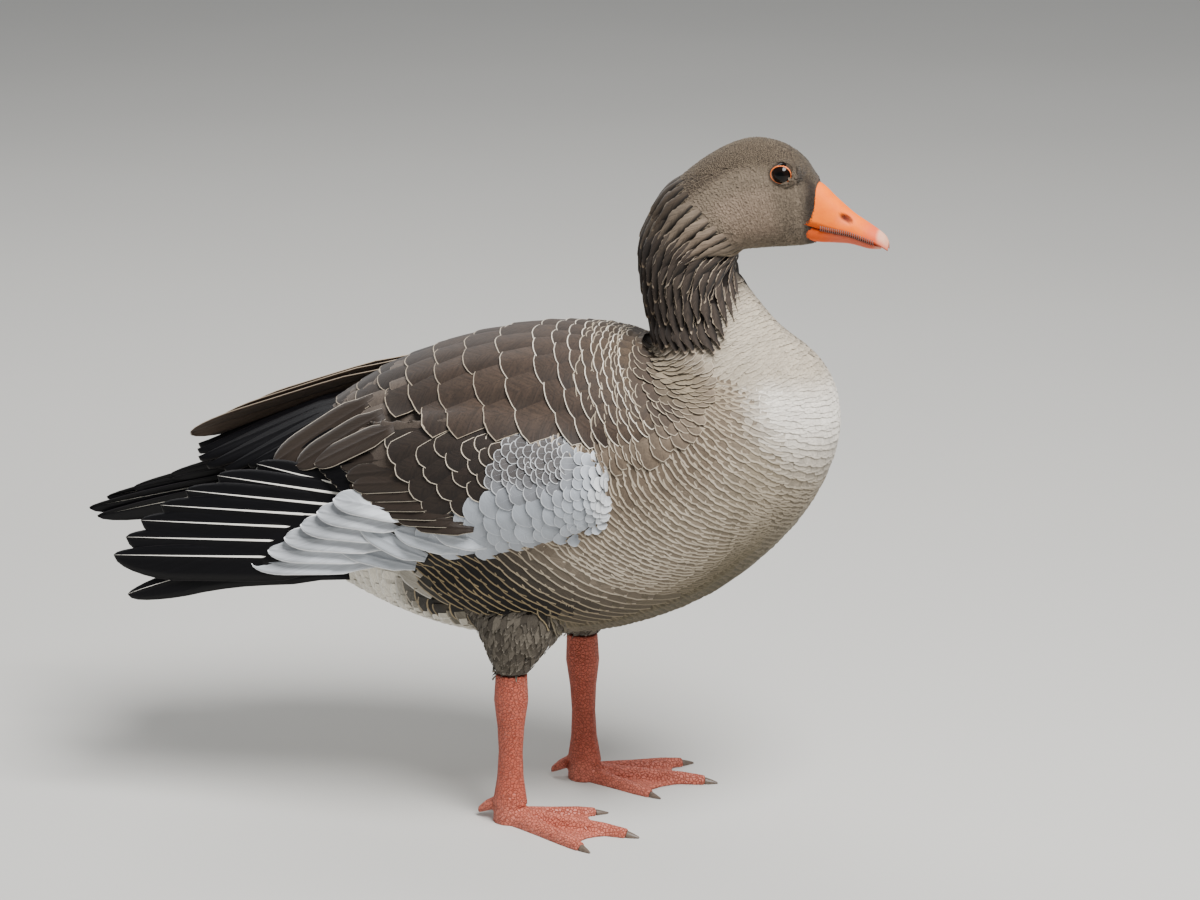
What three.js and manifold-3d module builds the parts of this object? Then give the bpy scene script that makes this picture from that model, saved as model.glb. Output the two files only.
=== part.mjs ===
// A greylag-type goose, standing, life size, in millimetres.
// +X is forward (bill), +Y is the bird's left, +Z is up, and the soles stand on Z = 0.
import * as THREE from 'three';
import { mergeVertices } from 'three/addons/utils/BufferGeometryUtils.js';
import Module from 'manifold-3d';

const wasm = await Module();
wasm.setup();

// ---------------------------------------------------------------- driving dimensions
const GAP = 0.3; // clearance between neighbouring solids
const RING = 24; // facets round the body
const STEPS = 3; // loft steps between two body stations

// Body stations from rump to bill base: dorsal [x, z], ventral [x, z], half width, squareness.
const BODY = [
  { name: 'rump_end', dorsal: [-268, 262], ventral: [-258, 212], half: 30, square: 2.0 },
  { name: 'rump', dorsal: [-228, 292], ventral: [-210, 176], half: 55, square: 2.1 },
  { name: 'loin', dorsal: [-175, 333], ventral: [-152, 150], half: 74, square: 2.2 },
  { name: 'back', dorsal: [-115, 361], ventral: [-96, 138], half: 85, square: 2.25 },
  { name: 'mid', dorsal: [-60, 376], ventral: [-40, 140], half: 90, square: 2.25 },
  { name: 'shoulder', dorsal: [-10, 381], ventral: [26, 151], half: 91, square: 2.2 },
  { name: 'fore_breast', dorsal: [22, 377], ventral: [96, 184], half: 88, square: 2.15 },
  { name: 'breast', dorsal: [38, 371], ventral: [152, 238], half: 80, square: 2.1 },
  { name: 'crop', dorsal: [43, 369], ventral: [180, 292], half: 70, square: 2.05 },
  { name: 'upper_crop', dorsal: [44, 372], ventral: [182, 334], half: 59, square: 2.0 },
  { name: 'neck_foot', dorsal: [42, 378], ventral: [168, 364], half: 50, square: 2.0 },
  { name: 'neck_base', dorsal: [39, 388], ventral: [141, 386], half: 42, square: 2.0 },
  { name: 'neck_low', dorsal: [34, 405], ventral: [121, 408], half: 36, square: 2.0 },
  { name: 'neck_mid', dorsal: [31, 426], ventral: [107, 427], half: 33, square: 2.0 },
  { name: 'neck_high', dorsal: [31, 449], ventral: [107, 439], half: 31, square: 2.0 },
  { name: 'nape', dorsal: [39, 470], ventral: [109, 444], half: 29.5, square: 2.0 },
  { name: 'occiput', dorsal: [54, 491], ventral: [113, 447], half: 28, square: 2.0 },
  { name: 'hind_crown', dorsal: [73, 509], ventral: [120, 448], half: 26.5, square: 2.05 },
  { name: 'crown', dorsal: [94, 523], ventral: [129, 449], half: 25, square: 2.1 },
  { name: 'brow', dorsal: [115, 530.5], ventral: [138, 450], half: 23.5, square: 2.1 },
  { name: 'eye_line', dorsal: [136, 528], ventral: [147, 451], half: 21, square: 2.1 },
  { name: 'forehead', dorsal: [152, 519], ventral: [155, 452], half: 18, square: 2.1 },
  { name: 'bill_base', dorsal: [166, 501], ventral: [166, 455], half: 13, square: 2.1 },
];
const HEAD_FROM = 'nape';
const NECK_SPLIT = 'neck_mid';
const NECK_FROM = 'neck_base';

// Tail: root at the rump, fanning back.
const TAIL_ROOT = { x: -262, z: 241 };
const TAIL_LENGTH = 74;
const TAIL_DROP = 34;
const TAIL_ROOT_HALF = 28;
const TAIL_TIP_HALF = 44;
const TAIL_FLARE = 12; // how much wider the fan spreads by its tip
const TAIL_ROOT_THICK = 26;
const TAIL_TIP_THICK = 4;
const TAIL_ROWS = 6;
const TAIL_FACETS = 16;

// Bill stations from base to tip: x, culmen z, gape-line z, underside z, half width.
const BILL = [
  { x: 166, culmen: 499, gape: 469.5, under: 455, half: 12.8 },
  { x: 178, culmen: 488, gape: 466, under: 454, half: 12.4 },
  { x: 190, culmen: 478, gape: 464.5, under: 453.5, half: 11.6 },
  { x: 202, culmen: 470, gape: 460.5, under: 453, half: 10.4 },
  { x: 212, culmen: 463.5, gape: 456.5, under: 452.5, half: 8.2 },
];
const BILL_TIP = { x: 218, top: 457, bottom: 449.5, half: 5 };
const BILL_ARCH = 0.85; // below 1 fills out the shoulders of a bill section
const BILL_POINTS = 9; // points over the arch of a bill section

const EYE_RADIUS = 8.4;
const EYE_CENTRE = { x: 140.9, y: 15.2, z: 508 };

// Legs: the right one stands a little behind the left one.
const LEGS = {
  right: { side: -1, ankle: [-55, -53, 104], joint: [-57, -52, 14], thigh: [-46, -46, 172], heading: -6 },
  left: { side: 1, ankle: [-28, 51, 104], joint: [-26, 50, 14], thigh: [-18, 45, 174], heading: 7 },
};
const SHANK_RADII = [13.5, 10.2, 9.2, 10.4, 13.2, 12.2]; // from foot joint to above the ankle
const SHANK_FLATNESS = 0.86; // a shank is narrower across than it is deep
const TOES = {
  middle: { length: 95, angle: 0, radius: 6.6 },
  inner: { length: 66, angle: 31, radius: 5.6 },
  outer: { length: 81, angle: -27, radius: 6.2 },
};
// Along a toe or claw, from 0 to 1: its width and height as shares of the toe's radius.
const TOE_ROWS = [
  { along: 0, wide: 1.5, high: 1.9 },
  { along: 0.25, wide: 1.15, high: 1.75 },
  { along: 0.5, wide: 1, high: 1.5 },
  { along: 0.8, wide: 0.9, high: 1.3 },
  { along: 1, wide: 0.7, high: 0.95 },
];
const CLAW_ROWS = [
  { along: 0, wide: 0.55, high: 0.75 },
  { along: 0.5, wide: 0.4, high: 0.5 },
  { along: 1, wide: 0.15, high: 0.2 },
];
const TOE_FACETS = 7;
const CLAW_LENGTH = 10;
const WEB_THICK = 2.4;
const WEB_HOLLOW = 0.28; // how far a web's front edge is drawn in towards the joint
const WEB_SET_BACK = 4; // a web starts this far behind its toes' ends
const HUB_PROFILE = [[0, 0], [13, 0], [12.6, 7], [11.6, 14], [0, 14]];
const HALLUX_START = 14; // from the foot's joint back to the root of the hind toe
const HALLUX_LENGTH = 12;
const HALLUX_ROWS = [
  { along: 0, radius: 5, height: 12 },
  { along: 0.5, radius: 4.2, height: 9 },
  { along: 1, radius: 2.4, height: 5 },
];
const HALLUX_FACETS = 10;

// Thigh: from above the ankle (0) to its root in the flank (1) and on into it.
const THIGH_LIFT = 16; // feathers end this far above the ankle's middle
const THIGH_FACETS = 18;
const THIGH_ROWS = [
  { along: 0, deep: 13.6, wide: 12.6 },
  { along: 0.14, deep: 17, wide: 15 },
  { along: 0.35, deep: 24, wide: 21 },
  { along: 0.6, deep: 33, wide: 26 },
  { along: 0.85, deep: 38, wide: 28 },
  { along: 1.05, deep: 36, wide: 25 },
  { along: 1.2, deep: 24, wide: 15 },
];

// Wings: stations from front to tip: top edge, bottom edge, bow outward, thickness.
// Y is the distance out from the middle plane, whichever side the wing is on.
const WING_FACETS = 7; // points along each face of a wing section
const WING_EDGE = 0.6; // half thickness of a wing at its edges
const WING_STEPS = 3; // loft steps between two wing stations
const WINGS = {
  right: {
    arm: [
      { top: [31, 78, 292], bottom: [31, 76, 274], bow: 3, thick: 8 },
      { top: [18, 82, 314], bottom: [22, 82, 248], bow: 10, thick: 18 },
      { top: [-20, 82, 326], bottom: [-12, 84, 231], bow: 14, thick: 22 },
      { top: [-75, 82, 328], bottom: [-70, 84, 217], bow: 14, thick: 22 },
      { top: [-130, 76, 320], bottom: [-135, 82, 206], bow: 13, thick: 20 },
      { top: [-174, 57, 312], bottom: [-190, 78, 198], bow: 11, thick: 15 },
    ],
    tertials: [
      { top: [-175, 52, 312], bottom: [-182, 72, 262], bow: 7, thick: 14 },
      { top: [-222, 38, 293], bottom: [-226, 66, 256], bow: 7, thick: 10 },
      { top: [-262, 32, 275], bottom: [-264, 58, 252], bow: 4, thick: 6 },
      { top: [-286, 34, 262], bottom: [-287, 48, 253], bow: 1, thick: 2 },
    ],
    primaries: [
      { top: [-183, 73, 261], bottom: [-191, 78, 197.5], bow: 8, thick: 14 },
      { top: [-240, 72, 250], bottom: [-246, 82, 188], bow: 8, thick: 9 },
      { top: [-295, 76, 236], bottom: [-305, 88, 178], bow: 6, thick: 6 },
      { top: [-333, 80, 226], bottom: [-345, 92, 172], bow: 4, thick: 4 },
      { top: [-350, 84, 212], bottom: [-356, 90, 186], bow: 1, thick: 2 },
    ],
  },
  left: {
    arm: [
      { top: [31, 78, 296], bottom: [31, 76, 278], bow: 3, thick: 8 },
      { top: [18, 82, 320], bottom: [22, 82, 254], bow: 10, thick: 18 },
      { top: [-20, 80, 332], bottom: [-12, 84, 240], bow: 14, thick: 22 },
      { top: [-75, 78, 334], bottom: [-70, 84, 230], bow: 14, thick: 22 },
      { top: [-130, 70, 328], bottom: [-135, 80, 222], bow: 13, thick: 20 },
      { top: [-174, 52, 326], bottom: [-190, 72, 218], bow: 11, thick: 15 },
    ],
    tertials: [
      { top: [-175, 48, 328], bottom: [-182, 66, 278], bow: 7, thick: 14 },
      { top: [-235, 28, 312], bottom: [-240, 54, 268], bow: 7, thick: 10 },
      { top: [-298, 20, 286], bottom: [-302, 44, 256], bow: 4, thick: 6 },
      { top: [-330, 20, 268], bottom: [-331, 32, 258], bow: 1, thick: 2 },
    ],
    primaries: [
      { top: [-183, 67, 277], bottom: [-191, 72, 217.5], bow: 8, thick: 14 },
      { top: [-250, 50, 267], bottom: [-255, 58, 212], bow: 8, thick: 9 },
      { top: [-320, 40, 247], bottom: [-325, 44, 202], bow: 5, thick: 6 },
      { top: [-385, 33, 217], bottom: [-390, 35, 190], bow: 2, thick: 4 },
      { top: [-427, 31, 193], bottom: [-429, 31, 187], bow: 0.5, thick: 2 },
    ],
  },
};

// ---------------------------------------------------------------- materials
const finish = (colour, roughness) => (
  new THREE.MeshStandardMaterial({ color: colour, roughness, metalness: 0 })
);
const PLUMAGE_HEAD = finish(0x7b7062, 0.9);
const PLUMAGE_NECK = finish(0x6b5f52, 0.9);
const PLUMAGE_TRUNK = finish(0xa89b89, 0.9);
const PLUMAGE_WING = finish(0x54443a, 0.8);
const QUILL_DARK = finish(0x1c191b, 0.6);
const BILL_ORANGE = finish(0xf28a2a, 0.45);
const LEG_ORANGE = finish(0xd9785f, 0.6);
const CLAW_HORN = finish(0x6b5b50, 0.5);
const EYE_DARK = finish(0x120c0a, 0.1);

// ---------------------------------------------------------------- mesh and solid helpers
const xyz = (x, y, z) => new THREE.Vector3(x, y, z);

// Closed loft through rings of equal length, with its two ends capped.
function loft(rings) {
  const count = rings[0].length;
  const positions = rings.flat().flatMap((p) => [p.x, p.y, p.z]);
  const indices = [];
  for (let r = 0; r + 1 < rings.length; r += 1) {
    for (let k = 0; k < count; k += 1) {
      const a = r * count + k;
      const b = r * count + ((k + 1) % count);
      indices.push(a, b, b + count, a, b + count, a + count);
    }
  }
  capEnd(positions, indices, rings[0], 0, true);
  capEnd(positions, indices, rings.at(-1), (rings.length - 1) * count, false);
  const geometry = new THREE.BufferGeometry();
  geometry.setAttribute('position', new THREE.Float32BufferAttribute(positions, 3));
  geometry.setIndex(indices);
  return facingOut(geometry);
}

function capEnd(positions, indices, ring, start, first) {
  const middle = ring.reduce((sum, p) => sum.add(p), xyz(0, 0, 0)).divideScalar(ring.length);
  const hub = positions.length / 3;
  positions.push(middle.x, middle.y, middle.z);
  for (let k = 0; k < ring.length; k += 1) {
    const a = start + k;
    const b = start + ((k + 1) % ring.length);
    indices.push(...(first ? [hub, b, a] : [hub, a, b]));
  }
}

function signedVolume(geometry) {
  const place = geometry.getAttribute('position');
  const index = geometry.getIndex().array;
  const corner = (i) => new THREE.Vector3().fromBufferAttribute(place, index[i]);
  let sum = 0;
  for (let i = 0; i < index.length; i += 3) {
    sum += corner(i).dot(corner(i + 1).cross(corner(i + 2)));
  }
  return sum / 6;
}

function facingOut(geometry) {
  if (signedVolume(geometry) < 0) {
    const index = geometry.getIndex().array;
    for (let i = 0; i < index.length; i += 3) {
      [index[i], index[i + 1]] = [index[i + 1], index[i]];
    }
  }
  return geometry;
}

// The same surface with shared corners.
function indexed(geometry) {
  const bare = geometry.clone();
  bare.deleteAttribute('normal');
  bare.deleteAttribute('uv');
  return mergeVertices(bare, 1e-3);
}

function solid(geometry) {
  const merged = indexed(geometry);
  return new wasm.Manifold(
    new wasm.Mesh({
      numProp: 3,
      vertProperties: new Float32Array(merged.getAttribute('position').array),
      triVerts: new Uint32Array(merged.getIndex().array),
    }),
  );
}

// Only the largest piece is kept, so that a cut leaves no loose sliver.
function largest(cut) {
  const pieces = cut.decompose();
  return pieces.reduce((best, piece) => (piece.volume() > best.volume() ? piece : best));
}

function mesh(name, cut, material) {
  const result = largest(cut).getMesh();
  const geometry = new THREE.BufferGeometry();
  geometry.setAttribute('position', new THREE.BufferAttribute(result.vertProperties, 3));
  geometry.setIndex(new THREE.BufferAttribute(result.triVerts, 1));
  const out = new THREE.Mesh(geometry, material);
  out.name = name;
  return out;
}

// A smooth run of stations: every number in a station passes through a Catmull-Rom curve.
function smooth(rows, steps) {
  const track = (column) => {
    const values = rows.map((row) => xyz(row[column], 0, 0));
    return new THREE.CatmullRomCurve3(values, false, 'catmullrom', 0.5);
  };
  const tracks = rows[0].map((_, column) => track(column));
  const total = (rows.length - 1) * steps;
  return Array.from({ length: total + 1 }, (_, i) => tracks.map((curve) => curve.getPoint(i / total).x));
}

// ---------------------------------------------------------------- head, neck and trunk
const stationIndex = (name) => BODY.findIndex((station) => station.name === name);

// One ring of the body: a squared ellipse between the dorsal and the ventral point, grown by `grow`.
function bodyRing([dorsalX, dorsalZ, ventralX, ventralZ, half, square], grow) {
  const middle = xyz((dorsalX + ventralX) / 2, 0, (dorsalZ + ventralZ) / 2);
  const reach = xyz(dorsalX, 0, dorsalZ).sub(middle);
  const height = reach.length() + grow;
  reach.normalize();
  return Array.from({ length: RING }, (_, k) => {
    const angle = (2 * Math.PI * k) / RING;
    const up = Math.sign(Math.cos(angle)) * Math.abs(Math.cos(angle)) ** (2 / square);
    const out = Math.sign(Math.sin(angle)) * Math.abs(Math.sin(angle)) ** (2 / square);
    return middle.clone().addScaledVector(reach, up * height).add(xyz(0, out * (half + grow), 0));
  });
}

function bodyLength(from, to, grow = 0, steps = STEPS) {
  const rows = BODY.map((s) => [...s.dorsal, ...s.ventral, s.half, s.square]);
  const all = smooth(rows, steps);
  const part = all.slice(stationIndex(from) * steps, stationIndex(to) * steps + 1);
  return part.map((row) => bodyRing(row, grow));
}

// Moves a length's first ring along its own course so that it clears the ring before it.
function pullBack(rings) {
  const shift = (p, q) => p.clone().add(q.clone().sub(p).setLength(GAP));
  const first = rings[0].map((p, k) => shift(p, rings[1][k]));
  return [first, ...rings.slice(1)];
}

const trunkSolid = solid(loft(bodyLength('rump_end', NECK_FROM)));
const trunkGrown = solid(loft(bodyLength('rump_end', NECK_FROM, GAP)));

// ---------------------------------------------------------------- eyes and bill
function ball(radius, centre, rings = 10) {
  const geometry = new THREE.SphereGeometry(radius, 1.6 * rings, rings);
  geometry.translate(centre.x, centre.y, centre.z);
  return solid(geometry);
}

const eyeCentre = (side) => ({ ...EYE_CENTRE, y: side * EYE_CENTRE.y });

// Half of a rounded section: an arch above (upper bill) or below (lower bill) a flat gape line.
function billRing([x, flat, crest, half]) {
  return Array.from({ length: BILL_POINTS }, (_, k) => {
    const angle = (Math.PI * k) / (BILL_POINTS - 1);
    const rise = Math.sin(angle) ** BILL_ARCH * (crest - flat);
    return xyz(x, -Math.cos(angle) * half, flat + rise);
  });
}

function billHalf(crestOf, flatShift, tip) {
  const rows = BILL.map((s) => [s.x, s.gape + flatShift, crestOf(s), s.half]);
  rows.push(tip);
  return solid(loft(smooth(rows, 2).map(billRing)));
}

function billParts() {
  const { x, top, bottom, half } = BILL_TIP;
  const upper = billHalf((s) => s.culmen, GAP, [x, bottom + 1.5, top, half]);
  const lower = billHalf((s) => s.under, -GAP, [x - 4, bottom + 2, bottom + 0.5, half]);
  const headGrown = solid(loft(bodyLength('forehead', 'bill_base', GAP)));
  return [
    mesh('bill_upper', upper.subtract(headGrown).subtract(lower), BILL_ORANGE),
    mesh('bill_lower', lower.subtract(headGrown), BILL_ORANGE),
  ];
}

function headAndNeck() {
  let head = solid(loft(bodyLength(HEAD_FROM, 'bill_base')));
  const parts = [];
  for (const [name, side] of [['eye_right', -1], ['eye_left', 1]]) {
    head = head.subtract(ball(EYE_RADIUS + GAP, eyeCentre(side)));
    parts.push(mesh(name, ball(EYE_RADIUS, eyeCentre(side)), EYE_DARK));
  }
  const upper = solid(loft(pullBack(bodyLength(NECK_SPLIT, HEAD_FROM))));
  const lower = solid(loft(pullBack(bodyLength(NECK_FROM, NECK_SPLIT))));
  parts.push(mesh('head', head, PLUMAGE_HEAD));
  parts.push(mesh('neck_upper', upper, PLUMAGE_NECK));
  parts.push(mesh('neck_lower', lower, PLUMAGE_NECK));
  return parts;
}

// ---------------------------------------------------------------- tail
const lerp = THREE.MathUtils.lerp;

function tailRing(t, grow) {
  const back = t * TAIL_LENGTH + (t > 0 ? grow : -grow);
  const middle = xyz(TAIL_ROOT.x - back, 0, TAIL_ROOT.z - t * TAIL_DROP);
  const roundEnd = (1 - t ** 6) ** 0.5;
  const half = lerp(TAIL_ROOT_HALF, TAIL_TIP_HALF, t) * roundEnd + t * TAIL_FLARE + grow;
  const thick = lerp(TAIL_ROOT_THICK, TAIL_TIP_THICK, t ** 0.6) + 2 * grow;
  return Array.from({ length: TAIL_FACETS }, (_, k) => {
    const angle = (2 * Math.PI * k) / TAIL_FACETS;
    return middle.clone().add(xyz(0, Math.sin(angle) * half, (Math.cos(angle) * thick) / 2));
  });
}

function tailRings(grow) {
  return Array.from({ length: TAIL_ROWS }, (_, row) => tailRing(row / (TAIL_ROWS - 1), grow));
}

const tailSolid = (grow) => solid(loft(tailRings(grow)));

// ---------------------------------------------------------------- wings
function wingRing(row, side, grow) {
  const [topX, topY, topZ, lowX, lowY, lowZ, bow, thick] = row;
  const top = xyz(topX, side * topY, topZ);
  const low = xyz(lowX, side * lowY, lowZ);
  const edge = low.clone().sub(top).normalize().multiplyScalar(grow);
  top.sub(edge);
  low.add(edge);
  const face = (sign) => Array.from({ length: WING_FACETS }, (_, k) => {
    const t = k / (WING_FACETS - 1);
    const swell = Math.sin(Math.PI * t);
    const half = Math.max((thick / 2) * swell ** 0.6, WING_EDGE) + grow;
    return top.clone().lerp(low, t).add(xyz(0, side * (bow * swell + sign * half), 0));
  });
  return [...face(1), ...face(-1).reverse()];
}

function wingSolid(stations, side, grow = 0) {
  const rows = stations.map((s) => [...s.top, ...s.bottom, s.bow, s.thick]);
  const rings = smooth(rows, WING_STEPS).map((row) => wingRing(row, side, grow));
  const last = rings.length - 1;
  for (const p of rings[0]) {
    p.x += grow;
  }
  for (const p of rings[last]) {
    p.x -= grow;
  }
  return solid(loft(rings));
}

function wing(name, side) {
  const shape = WINGS[name];
  const clear = (cut) => cut.subtract(trunkGrown).subtract(tailSolid(GAP));
  const armGrown = wingSolid(shape.arm, side, GAP);
  const tertialsGrown = wingSolid(shape.tertials, side, GAP);
  const tertials = wingSolid(shape.tertials, side).subtract(armGrown);
  const primaries = wingSolid(shape.primaries, side).subtract(armGrown).subtract(tertialsGrown);
  return [
    mesh(`wing_${name}_arm`, clear(wingSolid(shape.arm, side)), PLUMAGE_WING),
    mesh(`wing_${name}_tertials`, clear(tertials), PLUMAGE_WING),
    mesh(`wing_${name}_primaries`, clear(primaries), QUILL_DARK),
  ];
}

// ---------------------------------------------------------------- legs and feet
function disc(middle, radiusX, radiusY, facets = 14) {
  return Array.from({ length: facets }, (_, k) => {
    const angle = (2 * Math.PI * k) / facets;
    return middle.clone().add(xyz(Math.cos(angle) * radiusX, Math.sin(angle) * radiusY, 0));
  });
}

function thigh(leg) {
  const hem = xyz(...leg.ankle).add(xyz(0, 0, THIGH_LIFT));
  const root = xyz(...leg.thigh);
  const rings = THIGH_ROWS.map(({ along, deep, wide }) => (
    disc(hem.clone().lerp(root, along), deep, wide, THIGH_FACETS)));
  return solid(loft(rings)).subtract(trunkGrown);
}

function shank(leg) {
  const foot = xyz(...leg.joint).add(xyz(0, 0, GAP));
  const top = xyz(...leg.ankle).add(xyz(0, 0, THIGH_LIFT - 4 * GAP));
  const rings = SHANK_RADII.map((radius, k) => {
    const middle = foot.clone().lerp(top, k / (SHANK_RADII.length - 1));
    return disc(middle, radius, radius * SHANK_FLATNESS);
  });
  return solid(loft(rings));
}

// A toe is an arch standing on its flat sole, from the foot's joint along `angle`.
function toeRing(origin, angle, along, radius, height) {
  const direction = xyz(Math.cos(angle), Math.sin(angle), 0);
  const across = xyz(-direction.y, direction.x, 0);
  const middle = origin.clone().addScaledVector(direction, along);
  return Array.from({ length: TOE_FACETS }, (_, k) => {
    const turn = (Math.PI * k) / (TOE_FACETS - 1);
    const place = middle.clone().addScaledVector(across, Math.cos(turn) * radius);
    return place.add(xyz(0, 0, Math.sin(turn) * height));
  });
}

// A length of toe or claw through rows, starting `start` from the foot's joint.
function toeLength(joint, turn, rows, start, length, radius) {
  return solid(loft(rows.map(({ along, wide, high }) => (
    toeRing(joint, turn, start + along * length, radius * wide, radius * high)))));
}

function footParts(name, leg) {
  const joint = xyz(leg.joint[0], leg.joint[1], 0);
  const parts = [];
  const hub = new THREE.LatheGeometry(HUB_PROFILE.map((p) => new THREE.Vector2(...p)), 16);
  hub.rotateX(Math.PI / 2);
  hub.translate(joint.x, joint.y, 0);
  let foot = solid(facingOut(indexed(hub)));
  const tips = {};
  for (const [toe, { length, angle, radius }] of Object.entries(TOES)) {
    const turn = THREE.MathUtils.degToRad(leg.heading + (leg.side < 0 ? angle : -angle));
    foot = foot.add(toeLength(joint, turn, TOE_ROWS, 0, length, radius));
    const claw = toeLength(joint, turn, CLAW_ROWS, length + GAP, CLAW_LENGTH, radius);
    parts.push(mesh(`claw_${name}_${toe}`, claw, CLAW_HORN));
    const reach = xyz(Math.cos(turn), Math.sin(turn), 0).multiplyScalar(length - WEB_SET_BACK);
    tips[toe] = joint.clone().add(reach);
  }
  foot = foot.add(web(joint, tips.inner, tips.middle)).add(web(joint, tips.middle, tips.outer));
  parts.push(mesh(`foot_${name}`, foot, LEG_ORANGE));
  return parts;
}

// The web between two toes, with a hollow front edge.
function web(joint, tipA, tipB) {
  const shape = new THREE.Shape();
  shape.moveTo(joint.x, joint.y);
  shape.lineTo(tipA.x, tipA.y);
  const hollow = tipA.clone().add(tipB).multiplyScalar(0.5).lerp(joint, WEB_HOLLOW);
  shape.quadraticCurveTo(hollow.x, hollow.y, tipB.x, tipB.y);
  shape.closePath();
  const settings = { depth: WEB_THICK, bevelEnabled: false, curveSegments: 6 };
  return solid(facingOut(indexed(new THREE.ExtrudeGeometry(shape, settings))));
}

function hallux(leg) {
  const joint = xyz(...leg.joint);
  const turn = THREE.MathUtils.degToRad(leg.heading);
  const rings = HALLUX_ROWS.map(({ along, radius, height }) => {
    const reach = HALLUX_START + along * HALLUX_LENGTH;
    const middle = xyz(joint.x - Math.cos(turn) * reach, joint.y - Math.sin(turn) * reach, height);
    return Array.from({ length: HALLUX_FACETS }, (_, k) => {
      const angle = (2 * Math.PI * k) / HALLUX_FACETS;
      return middle.clone().add(xyz(0, Math.cos(angle) * radius, Math.sin(angle) * radius));
    });
  });
  return solid(loft(rings));
}

function legParts(name, leg) {
  const parts = [
    mesh(`thigh_${name}`, thigh(leg), PLUMAGE_TRUNK),
    mesh(`shank_${name}`, shank(leg), LEG_ORANGE),
    mesh(`hallux_${name}`, hallux(leg), LEG_ORANGE),
  ];
  return [...parts, ...footParts(name, leg)];
}

// ---------------------------------------------------------------- the whole bird
const model = new THREE.Group();
model.add(...headAndNeck(), ...billParts());
model.add(mesh('trunk', trunkSolid, PLUMAGE_TRUNK));
model.add(mesh('tail', tailSolid(0).subtract(trunkGrown), PLUMAGE_WING));
model.add(...wing('right', -1), ...wing('left', 1));
for (const [name, leg] of Object.entries(LEGS)) {
  model.add(...legParts(name, leg));
}

// The origin is the middle of the bird's box, at floor level.
const box = new THREE.Box3().setFromObject(model);
const middle = box.getCenter(xyz(0, 0, 0));
model.position.set(-middle.x, -middle.y, -box.min.z);

export default model;
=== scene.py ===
"""A standing greylag-type goose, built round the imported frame.

It has one skin, a coat of feathers, wings, a bill, eyes and feet. Sizes and places are millimetres in the
figure's own frame: X forward, Y to its left, Z up from the floor. Only put_on_frame() turns them into the
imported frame's metres.
"""

import math

import bmesh
import bpy
import numpy as np
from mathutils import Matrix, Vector
from mathutils.bvhtree import BVHTree
from mathutils.kdtree import KDTree


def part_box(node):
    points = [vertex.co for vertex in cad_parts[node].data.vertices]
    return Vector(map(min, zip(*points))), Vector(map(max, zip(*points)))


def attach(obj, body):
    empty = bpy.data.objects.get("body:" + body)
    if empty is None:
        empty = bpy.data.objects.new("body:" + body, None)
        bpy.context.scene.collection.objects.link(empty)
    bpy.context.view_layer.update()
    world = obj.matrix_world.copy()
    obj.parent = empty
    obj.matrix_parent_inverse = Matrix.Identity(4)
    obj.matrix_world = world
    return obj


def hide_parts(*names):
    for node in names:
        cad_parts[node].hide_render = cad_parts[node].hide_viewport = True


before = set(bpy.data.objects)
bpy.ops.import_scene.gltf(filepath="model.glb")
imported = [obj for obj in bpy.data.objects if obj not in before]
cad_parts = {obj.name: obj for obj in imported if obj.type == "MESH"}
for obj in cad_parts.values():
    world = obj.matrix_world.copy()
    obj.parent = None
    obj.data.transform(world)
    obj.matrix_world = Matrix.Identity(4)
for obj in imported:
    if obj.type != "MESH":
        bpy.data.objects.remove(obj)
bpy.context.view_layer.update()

RIGHT = -1
LEFT = 1
SIDES = {"right": RIGHT, "left": LEFT}
SEED = {"right": 0, "left": 40}

# Driving sizes, as the solids have them. A station is dorsal x z, ventral x z, half width and squareness.
# Places along the body, t, count the stations from the rump's end. Angles round it count from the back.
STATIONS = {
    "rump_end": (-268, 262, -258, 212, 30, 2.0),
    "rump": (-228, 292, -210, 176, 55, 2.1),
    "loin": (-175, 333, -152, 150, 74, 2.2),
    "back": (-115, 361, -96, 138, 85, 2.25),
    "mid": (-60, 376, -40, 140, 90, 2.25),
    "shoulder": (-10, 381, 26, 151, 91, 2.2),
    "fore_breast": (22, 377, 96, 184, 88, 2.15),
    "breast": (38, 371, 152, 238, 80, 2.1),
    "crop": (43, 369, 180, 292, 70, 2.05),
    "upper_crop": (44, 372, 182, 334, 59, 2.0),
    "neck_foot": (42, 378, 168, 364, 50, 2.0),
    "neck_base": (39, 388, 141, 386, 42, 2.0),
    "neck_low": (34, 405, 121, 408, 36, 2.0),
    "neck_mid": (31, 426, 107, 427, 33, 2.0),
    "neck_high": (31, 449, 107, 439, 31, 2.0),
    "nape": (39, 470, 109, 444, 29.5, 2.0),
    "occiput": (54, 491, 113, 447, 28, 2.0),
    "hind_crown": (73, 509, 120, 448, 26.5, 2.05),
    "crown": (94, 523, 129, 449, 25, 2.1),
    "brow": (115, 530.5, 138, 450, 23.5, 2.1),
    "eye_line": (136, 528, 147, 451, 21, 2.1),
    "forehead": (152, 519, 155, 452, 18, 2.1),
    "bill_base": (166, 501, 166, 455, 13, 2.1),
}
BODY = np.array(list(STATIONS.values()), float)
BILL_BASE = 22.0
EYE = np.array((140.9, 15.2, 508.0))
EYE_RADIUS = 8.4

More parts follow.
